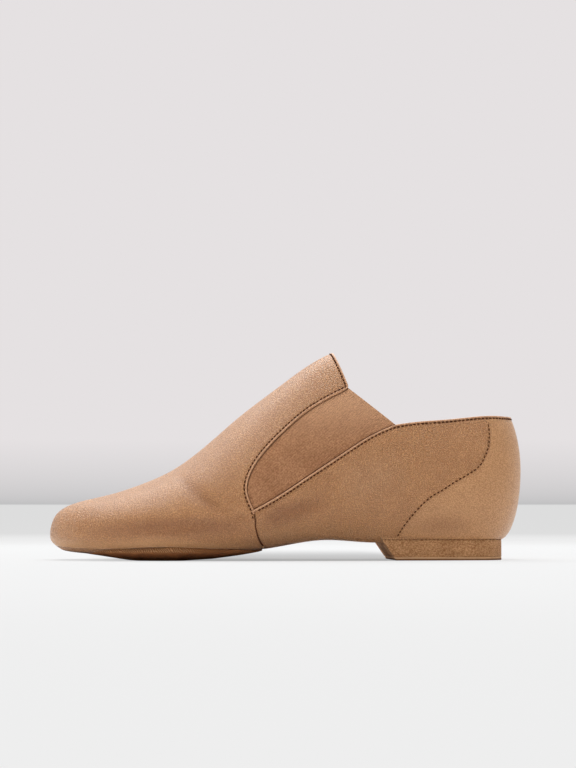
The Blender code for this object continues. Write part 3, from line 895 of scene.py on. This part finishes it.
def counter_line():
    """The row of stitches that holds the counter, on the inner side of the last."""
    s, v = [], []
    tried = np.linspace(11.0, 13.6, 521)
    for x, z in curve_through([(x * MM, z * MM) for x, z in COUNTER], 12):
        level = halve(
            np.zeros_like(tried), np.full_like(tried, 0.9), 24,
            lambda place: last_point(tried, place)[:, 2] < z)
        nearest = np.argmin(np.abs(last_point(tried, level)[:, 0] - x))
        s.append(tried[nearest])
        v.append(level[nearest])
    return np.array(s), np.array(v)


counter_s, counter_v = counter_line()
counter_outer = even_path(counter_s, -counter_v, FINE)
counter_inner = even_path(counter_s, counter_v, FINE)
crimp_s, crimp_v = curve_through(CRIMP, 10).T
crimp_path = even_path(*both_sides(crimp_s[::-1], crimp_v[::-1]), FINE)
print("counter line in mm:", round(len(counter_outer.points) * FINE / MM))

# %% [markdown]
# ## The vamp
# The vamp is the front of the shoe: toe, instep and tab in one piece of leather. It could be two
# halves with a seam, but the photograph shows none, so it is one sheet that closes round the
# foot. Its columns crowd towards the edge, where the leather turns down into the side seam.


# %% Vamp
def spread(a, values):
    """Carries numbers from 0 to 1 onto a list of unevenly spaced values."""
    return np.interp(a, np.linspace(0, 1, len(values)), values)


def edge_station(v):
    """Station of the vamp's edge at a place round the section."""
    return np.interp(np.abs(v), vamp_line_v[::-1], vamp_line_s[::-1])


NOSE_SHARES = [0, 0.004, 0.009, 0.015, 0.022, 0.03, 0.039, 0.049, 0.06, 0.072, 0.085]
EDGE_SHARES = [1 - x / 190 for x in (2.6, 2.0, 1.5, 1.1, 0.8, 0.5, 0.25, 0.0)]
VAMP_SHARES = NOSE_SHARES + list(np.linspace(0.085, EDGE_SHARES[0], 104)[1:]) + EDGE_SHARES[1:]
UNDER_PLACES = list(np.linspace(0, UNDER_SHARE, 7))
SIDE_PLACES = list(np.linspace(UNDER_SHARE, 0.5, 31)[1:])
OVER_PLACES = list(np.linspace(0.5, 1, 71)[1:])
HALF_RING = UNDER_PLACES + SIDE_PLACES + OVER_PLACES
FULL_RING = [-v for v in HALF_RING[:0:-1]] + HALF_RING
LEATHER = 0.8 * MM
STITCH_IN = 1.4 * MM
TURN_DOWN, TURN_ENDS = 0.5, (0.1, 0.9)
PULL_DEPTH, PULL_WIDTH = 0.22, 0.45


def vamp_place(a, b):
    v = spread(b, FULL_RING)
    return edge_station(v) * spread(a, VAMP_SHARES), v


Crease = namedtuple("Crease", "line depth width")
CREASES = (
    Crease(((-58, 45), (-50, 36), (-43, 30.5), (-36, 26.5)), 0.80, 4.0),
    Crease(((-108, 14), (-84, 15.5), (-60, 17), (-36, 17.5), (-19, 17)), 1.50, 5.0),
    Crease(((-46.3, 30.8), (-38, 28.2), (-30.4, 24.3)), 0.45, 1.6),
    Crease(((-43.8, 26.3), (-36, 25.3), (-29.7, 23.3)), 0.40, 1.5),
    Crease(((-37.1, 32.0), (-31, 29.6), (-26.2, 25.8)), 0.40, 1.5),
    Crease(((-30.0, 23.0), (-25, 22.2), (-20.5, 20.6)), 0.60, 1.8),
    Crease(((-16, 17.5), (-6, 22.5), (6, 26.5), (20, 31.5)), 1.40, 5.5),
    Crease(((58, 15), (78, 18), (98, 17)), 0.90, 5.5),
    Crease(((22, 36), (40, 42), (62, 43)), -0.70, 10.0),
)
INNER_SHIFT = 5.0
RIDGE_DIP, DIP_X, DIP_WIDTH, DIP_ENDS = 1.3, -41.0, 15.0, (0.6, 1.0)


def crease_lines(points):
    """Depth in millimetres of the creases that walking has left, a little further back inside."""
    side_view = points[:, (0, 2)] / MM
    side_view[points[:, 1] > 0, 0] -= INNER_SHIFT
    total = np.zeros(len(points))
    for crease in CREASES:
        line = curve_through(crease.line, 12)
        away = np.linalg.norm(side_view[:, None, :] - line[None, :, :], axis=2)
        nearest = away.argmin(axis=1)
        fade = np.sin(pi * nearest / (len(line) - 1)) ** 0.7
        total += crease.depth * fade * np.exp(-((away.min(axis=1) / crease.width) ** 2))
    return total


def crease_depth(points):
    """The creases, and the dip of the ridge where the foot bends, in millimetres."""
    high = points[:, 2] / read_last(station_at(points[:, 0])).top
    dip = RIDGE_DIP * np.exp(-(((points[:, 0] / MM - DIP_X) / DIP_WIDTH) ** 2))
    return dip * smoothstep(*DIP_ENDS, high) + crease_lines(points)


TOE_ROLL, ROLL_START, ROLL_END, ROLL_SIDE = 1.1, (-121, -114), (-101, -86), (0.22, 0.38)


def toe_roll(points, v):
    """Height in millimetres of the leather gathered under the toe, over the sole's front edge."""
    x = points[:, 0] / MM
    along = smoothstep(*ROLL_START, x) * (1 - smoothstep(*ROLL_END, x))
    return TOE_ROLL * along * (1 - smoothstep(*ROLL_SIDE, np.abs(v)))


def edge_dip(away):
    """Millimetres that leather dips near its folded edge: turned down, and pulled in by stitches."""
    turned = TURN_DOWN * (1 - smoothstep(*TURN_ENDS, away))
    return turned + PULL_DEPTH * np.exp(-(((away - STITCH_IN / MM) / PULL_WIDTH) ** 2))


def vamp_height(s, v):
    """The vamp lies on the last, and turns down at its edge and under its stitches."""
    points = last_point(s, v)
    away = distances(points, vamp_fine.points)[0] / MM
    return (toe_roll(points, v) - edge_dip(away) - crease_depth(points)) * MM


def add_values(mesh, name, values):
    layer = mesh.attributes.new(name, "FLOAT", "POINT")
    layer.data.foreach_set("value", np.asarray(values, np.float32))


def mesh_points(mesh):
    points = np.zeros(len(mesh.vertices) * 3)
    mesh.vertices.foreach_get("co", points)
    return points.reshape(-1, 3)


bm = leather_sheet(len(VAMP_SHARES) - 1, len(FULL_RING) - 1, vamp_place, vamp_height, LEATHER)
vamp = add_piece("vamp", bm, vamp_leather, "leather", "upper")
spots = mesh_points(vamp.data)
crimp, nearest = distances(spots, crimp_path.points)
crimp = np.where(spots[:, 2] < crimp_path.points[nearest, 2], crimp, -crimp)
add_values(vamp.data, "seam_mm", distances(spots, vamp_fine.points)[0] / MM)
add_values(vamp.data, "crimp_mm", np.clip(crimp / MM, -20, 20))
add_values(vamp.data, "crimp_run_mm", nearest * FINE / MM)
add_values(vamp.data, "crease_mm", crease_lines(spots))

# %% [markdown]
# ## The quarters
# Two quarters hold the sides and the heel of the foot and meet at the back. One sheet makes
# both: it starts under the edge of the vamp, as the real lap does, and its last column closes
# the back. The counter inside the heel keeps the leather behind its stitches smooth.

# %% Quarters
LAP = 0.12
LAP_DEPTH, LAP_ENDS = 0.75, (-0.3, 0.9)
FRONT_SHARES = [0, 0.01, 0.018, 0.024, 0.029, 0.034, 0.04, 0.048]
QUARTER_SHARES = FRONT_SHARES + list(np.linspace(0.048, 1, 125)[1:])
TOP_SHARES = [1 - x / 100 for x in (2.6, 1.9, 1.4, 1.0, 0.6, 0.25, 0)]
HALF_QUARTER = list(np.linspace(0, TOP_SHARES[0], 84)) + TOP_SHARES[1:]
QUARTER_RING = [-w for w in HALF_QUARTER[:0:-1]] + HALF_QUARTER


def place_in_quarter(back, up):
    """Shares of the way from under the vamp to the heel, and from the sole to the top line."""
    front = edge_station(up * gore_point_v[0]) - LAP
    s = front + (BACK_END - front) * back
    return s, up * top_place(s)


def quarter_place(a, b):
    return place_in_quarter(spread(a, QUARTER_SHARES), spread(b, QUARTER_RING))


def quarter_height(s, v):
    """The quarter dives under the vamp, and turns down at its top line."""
    points = last_point(s, v)
    behind = distances(points, vamp_fine.points)[0] / MM * np.sign(s - edge_station(v))
    below = distances(points, top_fine.points)[0] / MM
    lap = LAP_DEPTH * (1 - smoothstep(*LAP_ENDS, behind))
    return -(lap + crease_depth(points) + edge_dip(below)) * MM


bm = leather_sheet(
    len(QUARTER_SHARES) - 1, len(QUARTER_RING) - 1, quarter_place, quarter_height, LEATHER)
quarters = add_piece("quarters", bm, quarter_leather, "leather", "upper")
spots = mesh_points(quarters.data)
outer_counter, inner_counter = beside(spots, counter_outer), -beside(spots, counter_inner)
counter = np.where(spots[:, 1] < 0, outer_counter, inner_counter)
add_values(quarters.data, "seam_mm", seam_distance(spots) / MM)
add_values(quarters.data, "crease_mm", crease_lines(spots))
add_values(quarters.data, "counter_mm", np.clip(counter / MM, -20, 20))
print("counter side, least and most mm:", counter.min() / MM, counter.max() / MM)

# %% [markdown]
# ## Lining
# A thin cloth lines the leather. It is the same two sheets, coarser and a little further in.


# %% Lining
LINING_IN = 1.15 * MM
LINING = 0.2 * MM
LINING_FRONT = 0.06
LINING_LOW = 0.992


def lining_vamp_place(a, b):
    v = spread(b, FULL_RING)
    return (edge_station(v) - LINING_FRONT) * spread(a, VAMP_SHARES), v


def lining_quarter_place(a, b):
    return place_in_quarter(a, spread(b, QUARTER_RING) * LINING_LOW)


def under_creases(depth):
    """A height function that keeps a sheet at a depth under the creased leather."""
    return lambda s, v: -depth - crease_depth(last_point(s, v)) * MM


for name, columns, lining_place in (
        ("vamp_lining", 64, lining_vamp_place), ("quarter_lining", 72, lining_quarter_place)):
    bm = leather_sheet(columns, 96, lining_place, under_creases(LINING_IN), LINING)
    add_piece(name, bm, cloth, "insole", "upper")

# %% [markdown]
# ## Folded edges
# Along the gores, the tab and the collar the leather is folded in and stitched, which leaves a
# soft rounded rim. A bevel on the sheet's rim would be too thin for that. The rim is a flat oval
# swept along the path, half sunk in the sheet, and it sinks away where the side seam closes.

# %% Folded edges
RIM_MIDDLE = (0.50, -0.38)
RIM_SIZE = (0.52, 0.62)
RIM_SQUARE = 2.4
RIM_STEPS = 16
RIM_PITCH = 0.6 * MM
RIM_SINK, SINK_ENDS = 0.7, (20.5 * MM, 26 * MM)


def rim(path, inward, sink):
    """A flat oval swept along a path. sink lowers it, in millimetres, along the path."""
    bm = bmesh.new()
    columns = len(path.points) - 1
    verts, a, b = grid_corners(bm, columns, RIM_STEPS)
    at = np.round(a * columns).astype(int)
    angle = b * 2 * pi
    c, n = np.cos(angle), np.sin(angle)
    across = (RIM_MIDDLE[0] + RIM_SIZE[0] * np.sign(c) * np.abs(c) ** (2 / RIM_SQUARE)) * inward
    high = RIM_MIDDLE[1] + RIM_SIZE[1] * np.sign(n) * np.abs(n) ** (2 / RIM_SQUARE) - sink[at]
    points = path.points[at] + path.across[at] * across[:, None] * MM + path.off[at] * high[:, None] * MM
    set_corners(verts, points)
    close_up(bm)
    return bm


vamp_rim_path = even_path(*both_sides(vamp_line_s[::-1], vamp_line_v[::-1]), RIM_PITCH)
sink = RIM_SINK * (1 - smoothstep(*SINK_ENDS, vamp_rim_path.points[:, 2]))
add_piece("vamp_edge", rim(vamp_rim_path, 1, sink), edge_leather, "leather", "upper")
top_rim_path = even_path(*top_line, RIM_PITCH)
no_sink = np.zeros(len(top_rim_path.points))
add_piece("collar_edge", rim(top_rim_path, -1, no_sink), edge_leather, "leather", "upper")

# %% [markdown]
# ## Stitches
# Thick brown thread is a clear feature of this shoe, so each stitch is a mesh: a small stretched
# sphere, half sunk in the leather. A dashed line in the material would be flat from the side.


# %% Stitches
THREAD_FLAT = 0.42


def sew(bm, path, offset, pitch, length, width, start=0.0, end=None, sink=0.0):
    """Adds stitches along a path, moved across by offset."""
    line = path.points + path.across * offset - path.off * sink
    run = run_along(line)
    end = run[-1] if end is None else end
    spots = np.arange(start + pitch / 2, end, pitch)
    for spot in spots:
        i = int(np.clip(np.searchsorted(run, spot), 1, len(run) - 1))
        along = unit(line[min(i + 2, len(line) - 1)] - line[max(i - 2, 0)])
        off = path.off[i]
        across = unit(np.cross(off, along))
        axes = Matrix((across * width / 2, off * width * THREAD_FLAT, along * length / 2))
        place = Matrix.Translation(Vector(line[i])) @ axes.transposed().to_4x4()
        bmesh.ops.create_uvsphere(bm, u_segments=8, v_segments=6, radius=1, matrix=place)
    return len(spots)


Row = namedtuple("Row", "pitch length width")
EDGE_ROW = Row(2.12 * MM, 1.55 * MM, 0.80 * MM)
COUNTER_ROW = Row(2.22 * MM, 1.55 * MM, 0.76 * MM)
SEAM_ROW = Row(1.25 * MM, 1.60 * MM, 0.95 * MM)
SEAM_IN, SEAM_SINK = 0.40 * MM, 0.35 * MM
EDGE_FOOT, SEAM_TOP, SEAM_FOOT = 21.0 * MM, 25.4 * MM, 7.4 * MM
TOP_START = 3 * MM
rows = bmesh.new()
seam_length = len(vamp_fine.points) * FINE
seam_top = np.argmax(vamp_fine.points[:, 2] > SEAM_TOP) * FINE
seam_foot = np.argmax(vamp_fine.points[:, 2] > SEAM_FOOT) * FINE
edge_foot = np.argmax(vamp_fine.points[:, 2] > EDGE_FOOT) * FINE
count = sew(rows, vamp_fine, STITCH_IN, *EDGE_ROW, edge_foot, seam_length - edge_foot)
count += sew(rows, vamp_fine, SEAM_IN, *SEAM_ROW, seam_foot, seam_top, SEAM_SINK)
count += sew(
    rows, vamp_fine, SEAM_IN, *SEAM_ROW, seam_length - seam_top, seam_length - seam_foot, SEAM_SINK)
top_length = len(top_fine.points) * FINE
count += sew(rows, top_fine, -STITCH_IN, *EDGE_ROW, TOP_START, top_length - TOP_START)
for path in (counter_outer, counter_inner):
    count += sew(rows, path, 0, *COUNTER_ROW)
add_piece("stitches", rows, thread, "leather", "upper")
print("stitches:", count)

# %% [markdown]
# ## Gores
# A gore is a triangle of woven elastic behind the leather. It is pulled taut between the vamp and
# the quarter, so its rows run straight from one edge to the other, and only its top edge is free.


# %% Gores
def by_length(line, t):
    """Points of a line at shares of its length."""
    run = run_along(line)
    return np.stack([np.interp(t * run[-1], run, column) for column in line.T], axis=-1)


GORE_LAP = 3.5 * MM
GORE_IN = 1.0 * MM
GORE_THICK = 0.9 * MM


def gore_place(a, b):
    """Across the gore with a, and up with b, on the inner side."""
    front, back = by_length(vamp_side[::-1], b), by_length(quarter_side, b)
    clear = np.maximum(b, 0.05)
    way = unit(by_length(quarter_side, clear) - by_length(vamp_side[::-1], clear))
    width = np.linalg.norm(back - front, axis=1)
    reach = (-GORE_LAP + (width + 2 * GORE_LAP) * a)[:, None]
    return on_last(front + way * reach)


def outer_gore_place(a, b):
    s, v = gore_place(a, b)
    return s, -v


for place_of_gore, side in ((outer_gore_place, "outer"), (gore_place, "inner")):
    bm = leather_sheet(44, 72, place_of_gore, under_creases(GORE_IN), GORE_THICK)
    break_edges(bm, 0.25 * MM, 60)
    gore = add_piece(f"elastic_{side}", bm, elastic, "elastic", f"gore_{side}")
    spots = mesh_points(gore.data)
    add_values(gore.data, "seam_mm", np.maximum(seam_distance(spots) / MM - GORE_IN / MM, 0))

# %% [markdown]
# ## Sole, heel and insole
# Below, a suede sole covers the ball of the foot, and a low heel of stacked board covered with
# suede stands on a thin lift. All three are closed solids with softly broken edges.


# %% Places under the foot
def place_of_reach(row, reach):
    turn = np.arcsin(np.clip((reach - row.flat) / (1 - row.flat), 0, 1)) / (pi / 2)
    rounded_part = UNDER_SHARE + (0.5 - UNDER_SHARE) * turn
    return np.where(reach < row.flat, UNDER_SHARE * reach / row.flat, rounded_part)


def under_place(x, y):
    """Station and place of the underside of the last over a spot of the floor."""
    s = station_at(x)
    row = read_last(s)
    edge = np.where(y > row.ridge, row.inner, -row.outer)
    reach = np.clip((y - row.ridge) / (edge - row.ridge), 0, 1)
    return s, place_of_reach(row, reach) * np.where(y > row.ridge, 1, -1)


def thick_patch(columns, rows, place, far, near):
    """A closed patch of a shell between two distances outside the last."""
    bm = bmesh.new()
    bmesh.ops.create_grid(bm, x_segments=columns, y_segments=rows, size=0.5)
    raised = bmesh.ops.extrude_face_region(bm, geom=list(bm.faces))["geom"]
    lifted = {item for item in raised if isinstance(item, bmesh.types.BMVert)}
    spots = np.array([vert.co for vert in bm.verts])[:, :2] + 0.5
    up = np.array([vert in lifted for vert in bm.verts])
    s, v = place(spots[:, 0], spots[:, 1])
    set_corners(bm.verts, off_last(s, v, np.where(up, far(s, v), near(s, v))))
    bmesh.ops.remove_doubles(bm, verts=bm.verts, dist=SAME_SPOT)
    bmesh.ops.recalc_face_normals(bm, faces=bm.faces)
    return bm


print("under the ball:", under_place(np.array([-0.06]), np.array([0.01])))

# %% Forefoot sole
SOLE_FRONT = (0.0580, 0.081)
SOLE_ROWS = (
    (0.0790, 0.140, 0.270), (0.1310, 0.320, 0.390), (0.1960, 0.405, 0.440), (0.2650, 0.440, 0.445),
    (0.3350, 0.385, 0.385), (0.3920, 0.314, 0.300), (0.4330, 0.180, 0.170),
)
SOLE_BACK = (0.4480, 0.000)
SOLE_THIN_OVER = 0.110
THIN_EDGE = 0.5 * MM
SOLE_GLUE = 0.05 * MM
STEPS, AGAIN = 16, 3
outer_places = [(along, -outer) for along, outer, inner in SOLE_ROWS]
inner_places = [(along, inner) for along, outer, inner in SOLE_ROWS]
around = [SOLE_BACK] + outer_places[::-1] + [SOLE_FRONT] + inner_places
closed = curve_through(around[-AGAIN:] + around + around[:AGAIN], STEPS)
closed = closed[AGAIN * STEPS : (AGAIN + len(around)) * STEPS + 1]
closed = np.stack((share_x(closed[:, 0]), closed[:, 1] * BALL_WIDTH), axis=-1)
front_spot = np.argmin(closed[:, 0])
outer_half = closed[: front_spot + 1][::-1]
inner_half = closed[front_spot:]


def sole_place(a, b):
    x = closed[front_spot, 0] + (closed[0, 0] - closed[front_spot, 0]) * (1 - np.cos(pi * a)) / 2
    low = np.interp(x, np.maximum.accumulate(outer_half[:, 0]), outer_half[:, 1])
    high = np.interp(x, np.maximum.accumulate(inner_half[:, 0]), inner_half[:, 1])
    return under_place(x, low + (high - low) * b)


def tread_distance(s, v):
    share = (read_last(s).x + HALF_LENGTH) / LENGTH
    nearest_end = np.minimum(share - SOLE_FRONT[0], SOLE_BACK[0] - share) / SOLE_THIN_OVER
    return GAP + THIN_EDGE + (SOLE - THIN_EDGE) * np.clip(nearest_end, 0, 1)


def sole_top(s, v):
    return np.full(len(s), SOLE_GLUE)


bm = thick_patch(80, 60, sole_place, tread_distance, sole_top)
for vert in bm.verts:
    vert.co.z = max(vert.co.z, 0.0)
break_edges(bm, 0.3 * MM)
add_piece("suede_sole", bm, sole_suede, "suede", "forefoot_sole")

# %% Heel block and lift
HEEL_SIDE_INSET = 0.0065
HEEL_BACK_INSET = 0.0106
BREAST_SLANT = 0.0069
BREAST = 0.6945
HEEL_ROUND = 2.5
INTO_SEAT, TUCK_INTO_SEAT, TUCK_BELOW, TUCK_INSET = 0.4 * MM, 0.5 * MM, 0.4 * MM, 0.1 * MM
axis_row = read_last(np.array([float(LAST_ROW)]))
axis_x, axis_outer = float(axis_row.x[0]), float(axis_row.outer[0])
SIDE_PARTS, BACK_PARTS, FRONT_PARTS = 30, 60, 24
HEEL_PARTS = 2 * SIDE_PARTS + BACK_PARTS + FRONT_PARTS


def heel_spots(number, z, inset=0.0):
    """The heel's outline at heights z, for corners numbered from the outer front."""
    inset_side = HEEL_SIDE_INSET + inset
    front = share_x(BREAST) + (HEEL_HEIGHT - z) * BREAST_SLANT / HEEL_HEIGHT + inset
    number = number % HEEL_PARTS
    turn = np.clip((number - SIDE_PARTS) / BACK_PARTS, 0, 1) * pi - pi / 2
    half_width = axis_outer - inset_side
    depth = HALF_LENGTH - HEEL_BACK_INSET - inset - axis_x
    back_y = half_width * np.sign(np.sin(turn)) * np.abs(np.sin(turn)) ** (2 / HEEL_ROUND)
    back_x = axis_x + depth * np.maximum(np.cos(turn), 0) ** (2 / HEEL_ROUND)
    share = np.where(number < SIDE_PARTS, number, SIDE_PARTS * 2 + BACK_PARTS - number) / SIDE_PARTS
    share = np.clip(share, 0, 1)
    side_x = front + (axis_x - front) * share
    row = read_last(station_at(side_x))
    side_y = np.where(number < SIDE_PARTS, inset_side - row.outer, row.inner - inset_side)
    corner = read_last(station_at(front))
    across = (number - SIDE_PARTS * 2 - BACK_PARTS) / FRONT_PARTS
    front_y = (corner.inner - inset_side) + (inset_side * 2 - corner.outer - corner.inner) * across
    on_back = (number >= SIDE_PARTS) & (number <= SIDE_PARTS + BACK_PARTS)
    on_front = number > SIDE_PARTS * 2 + BACK_PARTS
    x = np.where(on_back, back_x, np.where(on_front, front, side_x))
    return x, np.where(on_back, back_y, np.where(on_front, front_y, side_y))


def seat_height(x, y):
    """Height of the seat of the upper over a spot of the floor."""
    back = x > axis_x
    depth = HALF_LENGTH - axis_x
    reach = np.hypot(np.where(back, (x - axis_x) / depth, 0), y / axis_outer)
    s, v = under_place(np.minimum(x, axis_x), y)
    behind = np.clip(np.arctan2((x - axis_x) / depth, np.abs(y) / axis_outer) / (pi / 2), 0, 1)
    row = read_last(np.full_like(x, float(LAST_ROW)))
    s = np.where(back, LAST_ROW + behind, s)
    v = np.where(back, place_of_reach(row, np.clip(reach, 0, 0.98)) * np.sign(y), v)
    return last_point(s, v)[:, 2]


def heel_solid(low, top_of, levels, edge, inset=0.0):
    """A closed solid with the heel's outline, from a height up to a height that may vary."""
    bm = bmesh.new()
    verts, a, b = grid_corners(bm, HEEL_PARTS, levels)
    number = np.round(a * HEEL_PARTS)
    z = np.full(len(verts), low)
    for _ in range(6):
        x, y = heel_spots(number, z, inset)
        z = low + (top_of(x, y) - low) * b
    set_corners(verts, np.stack((x, y, z), axis=-1))
    close_up(bm)
    break_edges(bm, edge)
    return bm


def seat_of_block(x, y):
    return np.minimum(seat_height(x, y) + INTO_SEAT, HEEL_LINE)


def seat_of_tuck(x, y):
    return np.maximum(seat_height(x, y) + TUCK_INTO_SEAT, HEEL_LINE)


bm = heel_solid(LIFT + 0.1 * MM, seat_of_block, 10, 0.3 * MM)
add_piece("suede_heel", bm, suede, "suede", "heel_block")
bm = heel_solid(HEEL_LINE - TUCK_BELOW, seat_of_tuck, 4, 0.1 * MM, TUCK_INSET)
tuck = add_piece("heel_tuck", bm, quarter_leather, "leather", "upper")
for label, value in (("seam_mm", 20.0), ("counter_mm", -20.0), ("crease_mm", 0.0)):
    add_values(tuck.data, label, np.full(len(tuck.data.vertices), value))
bm = heel_solid(0.0, lambda x, y: np.full_like(x, LIFT), 2, 0.2 * MM)
add_piece("tread_lift", bm, rubber, "lift", "heel_lift")

# %% Insole
INSOLE = 2.0 * MM
INSOLE_INSET = 6.0 * MM
INSOLE_IN = 1.5 * MM
INSOLE_FRONT, INSOLE_CROWD = 0.8, 1.15


def insole_place(a, b):
    crowded = np.linspace(0, 1, 90) ** INSOLE_CROWD
    s = INSOLE_FRONT + (BACK_END - INSOLE_FRONT) * spread(a, crowded)
    side = np.where(b < 0.5, -1, 1)
    row = read_last(s)
    half = np.where(side < 0, row.outer + row.ridge, row.inner - row.ridge)
    reach = np.clip(1 - INSOLE_INSET / np.maximum(half, 1e-4), 0.02, 1)
    return s, place_of_reach(row, reach) * np.abs(2 * b - 1) * side


bm = leather_sheet(89, 50, insole_place, lambda s, v: np.full(len(s), -INSOLE_IN), INSOLE)
add_piece("cloth_insole", bm, cloth, "insole", "insole")

# %% [markdown]
# ## Floor, light and camera
# The studio is a pale sweep: a flat floor that turns up into a wall far behind. A strong wide lamp
# high behind the shoe gives the bright ridge of the photograph, and two softer ones, in front and
# at the toe, fill the sides. The far floor and the walls of the sweep glow, as painted light on the
# shoe, and a shadow is painted on the floor behind and beneath the shoe.

# %% Floor and backdrop
FLOOR_RADIUS = 1.9
SWEEP = 0.5
SWEEP_STEPS, SWEEP_SIDES = 24, 96
WALL_HEIGHT = 3.0
bm = bmesh.new()
profile = [(0.0, 0.0), (0.3, 0.0), (0.9, 0.0), (FLOOR_RADIUS, 0.0)]
for step in range(1, SWEEP_STEPS + 1):
    turn = step / SWEEP_STEPS * pi / 2
    profile.append((FLOOR_RADIUS + SWEEP * sin(turn), SWEEP * (1 - cos(turn))))
profile.append((FLOOR_RADIUS + SWEEP, WALL_HEIGHT))
verts = [bm.verts.new((x, 0, z)) for x, z in profile]
edges = [bm.edges.new(pair) for pair in zip(verts, verts[1:])]
bmesh.ops.spin(
    bm, geom=verts + edges, cent=(0, 0, 0), axis=(0, 0, 1), angle=2 * pi, steps=SWEEP_SIDES,
    use_merge=True)
bmesh.ops.remove_doubles(bm, verts=bm.verts, dist=1e-5)
bmesh.ops.recalc_face_normals(bm, faces=bm.faces)
bmesh.ops.reverse_faces(bm, faces=bm.faces)
sweep = add_object("studio_sweep", smooth_mesh("studio_sweep", bm))

LINE_HEIGHT = 0.041
SIDE_GLOW, FRONT_GLOW, LOW_GLOW, FLOOR_BOUNCE = 0.85, 0.18, 0.22, 0.85
FLOOR_SHINE, FLOOR_GREY, SHADE = 0.66, 0.14, 0.38


def grey(value):
    return (value, value, value, 1.0)


def paper_finish():
    """The camera sees a pale floor and wall, with painted shade. The far floor and the wall glow, as
    painted light on the shoe, and a shadow is painted on the floor behind and beneath it.
    """
    paper = Finish("studio_paper", 1.0, 0.0)
    place = paper.place()
    apart = paper.axes(place)
    radius = paper.node("ShaderNodeVectorMath", {0: place}, operation="LENGTH").outputs["Value"]
    seen = paper.node("ShaderNodeLightPath").outputs["Is Camera Ray"]
    wall = paper.ramp(apart["Z"], LINE_HEIGHT - 0.002, LINE_HEIGHT + 0.001)
    rise = paper.ramp(apart["Z"], LINE_HEIGHT, LINE_HEIGHT + 0.10, smooth=False)
    # Seen by the camera, the wall darkens towards the line and the far floor darkens with distance:
    # painted shade.
    wall_colour = paper.mix(paper.maths("POWER", rise, 0.5), linear(188, 188, 189), linear(229, 225, 226))
    far_floor = paper.mix(paper.ramp(radius, 0.9, 2.1), linear(238, 238, 238), linear(221, 221, 221))
    far_colour = paper.mix(wall, far_floor, wall_colour)
    # Painted light: the glow that lights the shoe, strongest behind it, weak in front and weaker low
    # down.
    glow = paper.mix(paper.ramp(apart["Y"], -0.6, 1.6), grey(FRONT_GLOW), grey(SIDE_GLOW))
    glow = paper.mix(paper.ramp(apart["Z"], 0.0, 0.1), grey(LOW_GLOW), glow)
    far = paper.ramp(radius, 0.45, 1.0)
    # Painted shadow: the floor is darker in a soft patch beneath and behind the shoe.
    behind = paper.times(
        paper.ramp(apart["Y"], 0.06, 0.40, 1.0, 0.0), paper.ramp(apart["Y"], -0.040, -0.030))
    beneath = paper.times(
        paper.ramp(apart["X"], -0.11, -0.05), paper.ramp(apart["X"], 0.06, 0.10, 1.0, 0.0))
    shade = paper.times(behind, beneath, SHADE)
    near_grey = paper.mix(shade, grey(FLOOR_GREY), grey(0.0))
    near_shine = paper.mix(shade, grey(FLOOR_SHINE), grey(0.0))
    near_part = paper.mix(far, paper.mix(seen, grey(FLOOR_BOUNCE), near_grey), grey(0.0))
    far_part = paper.mix(
        far, paper.mix(seen, grey(0.0), near_shine), paper.mix(seen, glow, far_colour))
    paper.tree.links.new(near_part, paper.inputs["Base Color"])
    paper.tree.links.new(far_part, paper.inputs["Emission Color"])
    paper.inputs["Emission Strength"].default_value = 1.0
    return paper.material


sweep.data.materials.append(paper_finish())
print("line between floor and wall at z", LINE_HEIGHT)


# %% Lights
def add_lamp(name, power, size, place, target, colour=(1, 1, 1)):
    light = bpy.data.lights.new(name, "AREA")
    light.shape = "RECTANGLE"
    light.size, light.size_y = size
    light.energy = power
    light.color = colour
    lamp = add_object(name, light)
    lamp.location = place
    lamp.rotation_euler = (Vector(target) - Vector(place)).to_track_quat("-Z", "Y").to_euler()
    print(name, "at", place)


add_lamp("front_lamp", 3.1, (1.2, 0.7), (0.1, -0.80, 1.15), (0, 0, 0.03))
add_lamp("toe_lamp", 1.35, (0.8, 0.3), (-1.00, -0.80, 0.22), (0, 0, 0.02))
add_lamp("back_lamp", 13.0, (1.2, 0.7), (0, 0.80, 1.15), (0, 0, 0.03), (0.94, 0.98, 1.0))
AIR_LIGHT = 2.65
world = bpy.data.worlds.new("studio_air")
world.use_nodes = True
air = world.node_tree.nodes["Background"].inputs
air["Color"].default_value = (1, 1, 1, 1)
air["Strength"].default_value = AIR_LIGHT
bpy.context.scene.world = world
bpy.context.scene.view_settings.view_transform = "Standard"
bpy.context.scene.view_settings.look = "None"

# %% Camera
AZIMUTH = radians(-4.0)
DISTANCE = 1.150
EYE_HEIGHT = 0.022
PITCH_UP = 3.456
SIDE_TURN = 0.039
FOCAL_PIXELS = 2207.0
IMAGE_HEIGHT = 768
SENSOR = 36.0
camera_data = bpy.data.cameras.new("camera")
camera_data.sensor_fit = "VERTICAL"
camera_data.sensor_height = SENSOR
camera_data.lens = FOCAL_PIXELS * SENSOR / IMAGE_HEIGHT
camera_data.clip_start = 0.01
camera = add_object("camera", camera_data)
camera.location = (DISTANCE * sin(AZIMUTH), -DISTANCE * cos(AZIMUTH), EYE_HEIGHT)
camera.rotation_euler = (radians(90 + PITCH_UP), 0, AZIMUTH + radians(-SIDE_TURN))
bpy.context.scene.camera = camera
print("lens", round(camera_data.lens, 2))
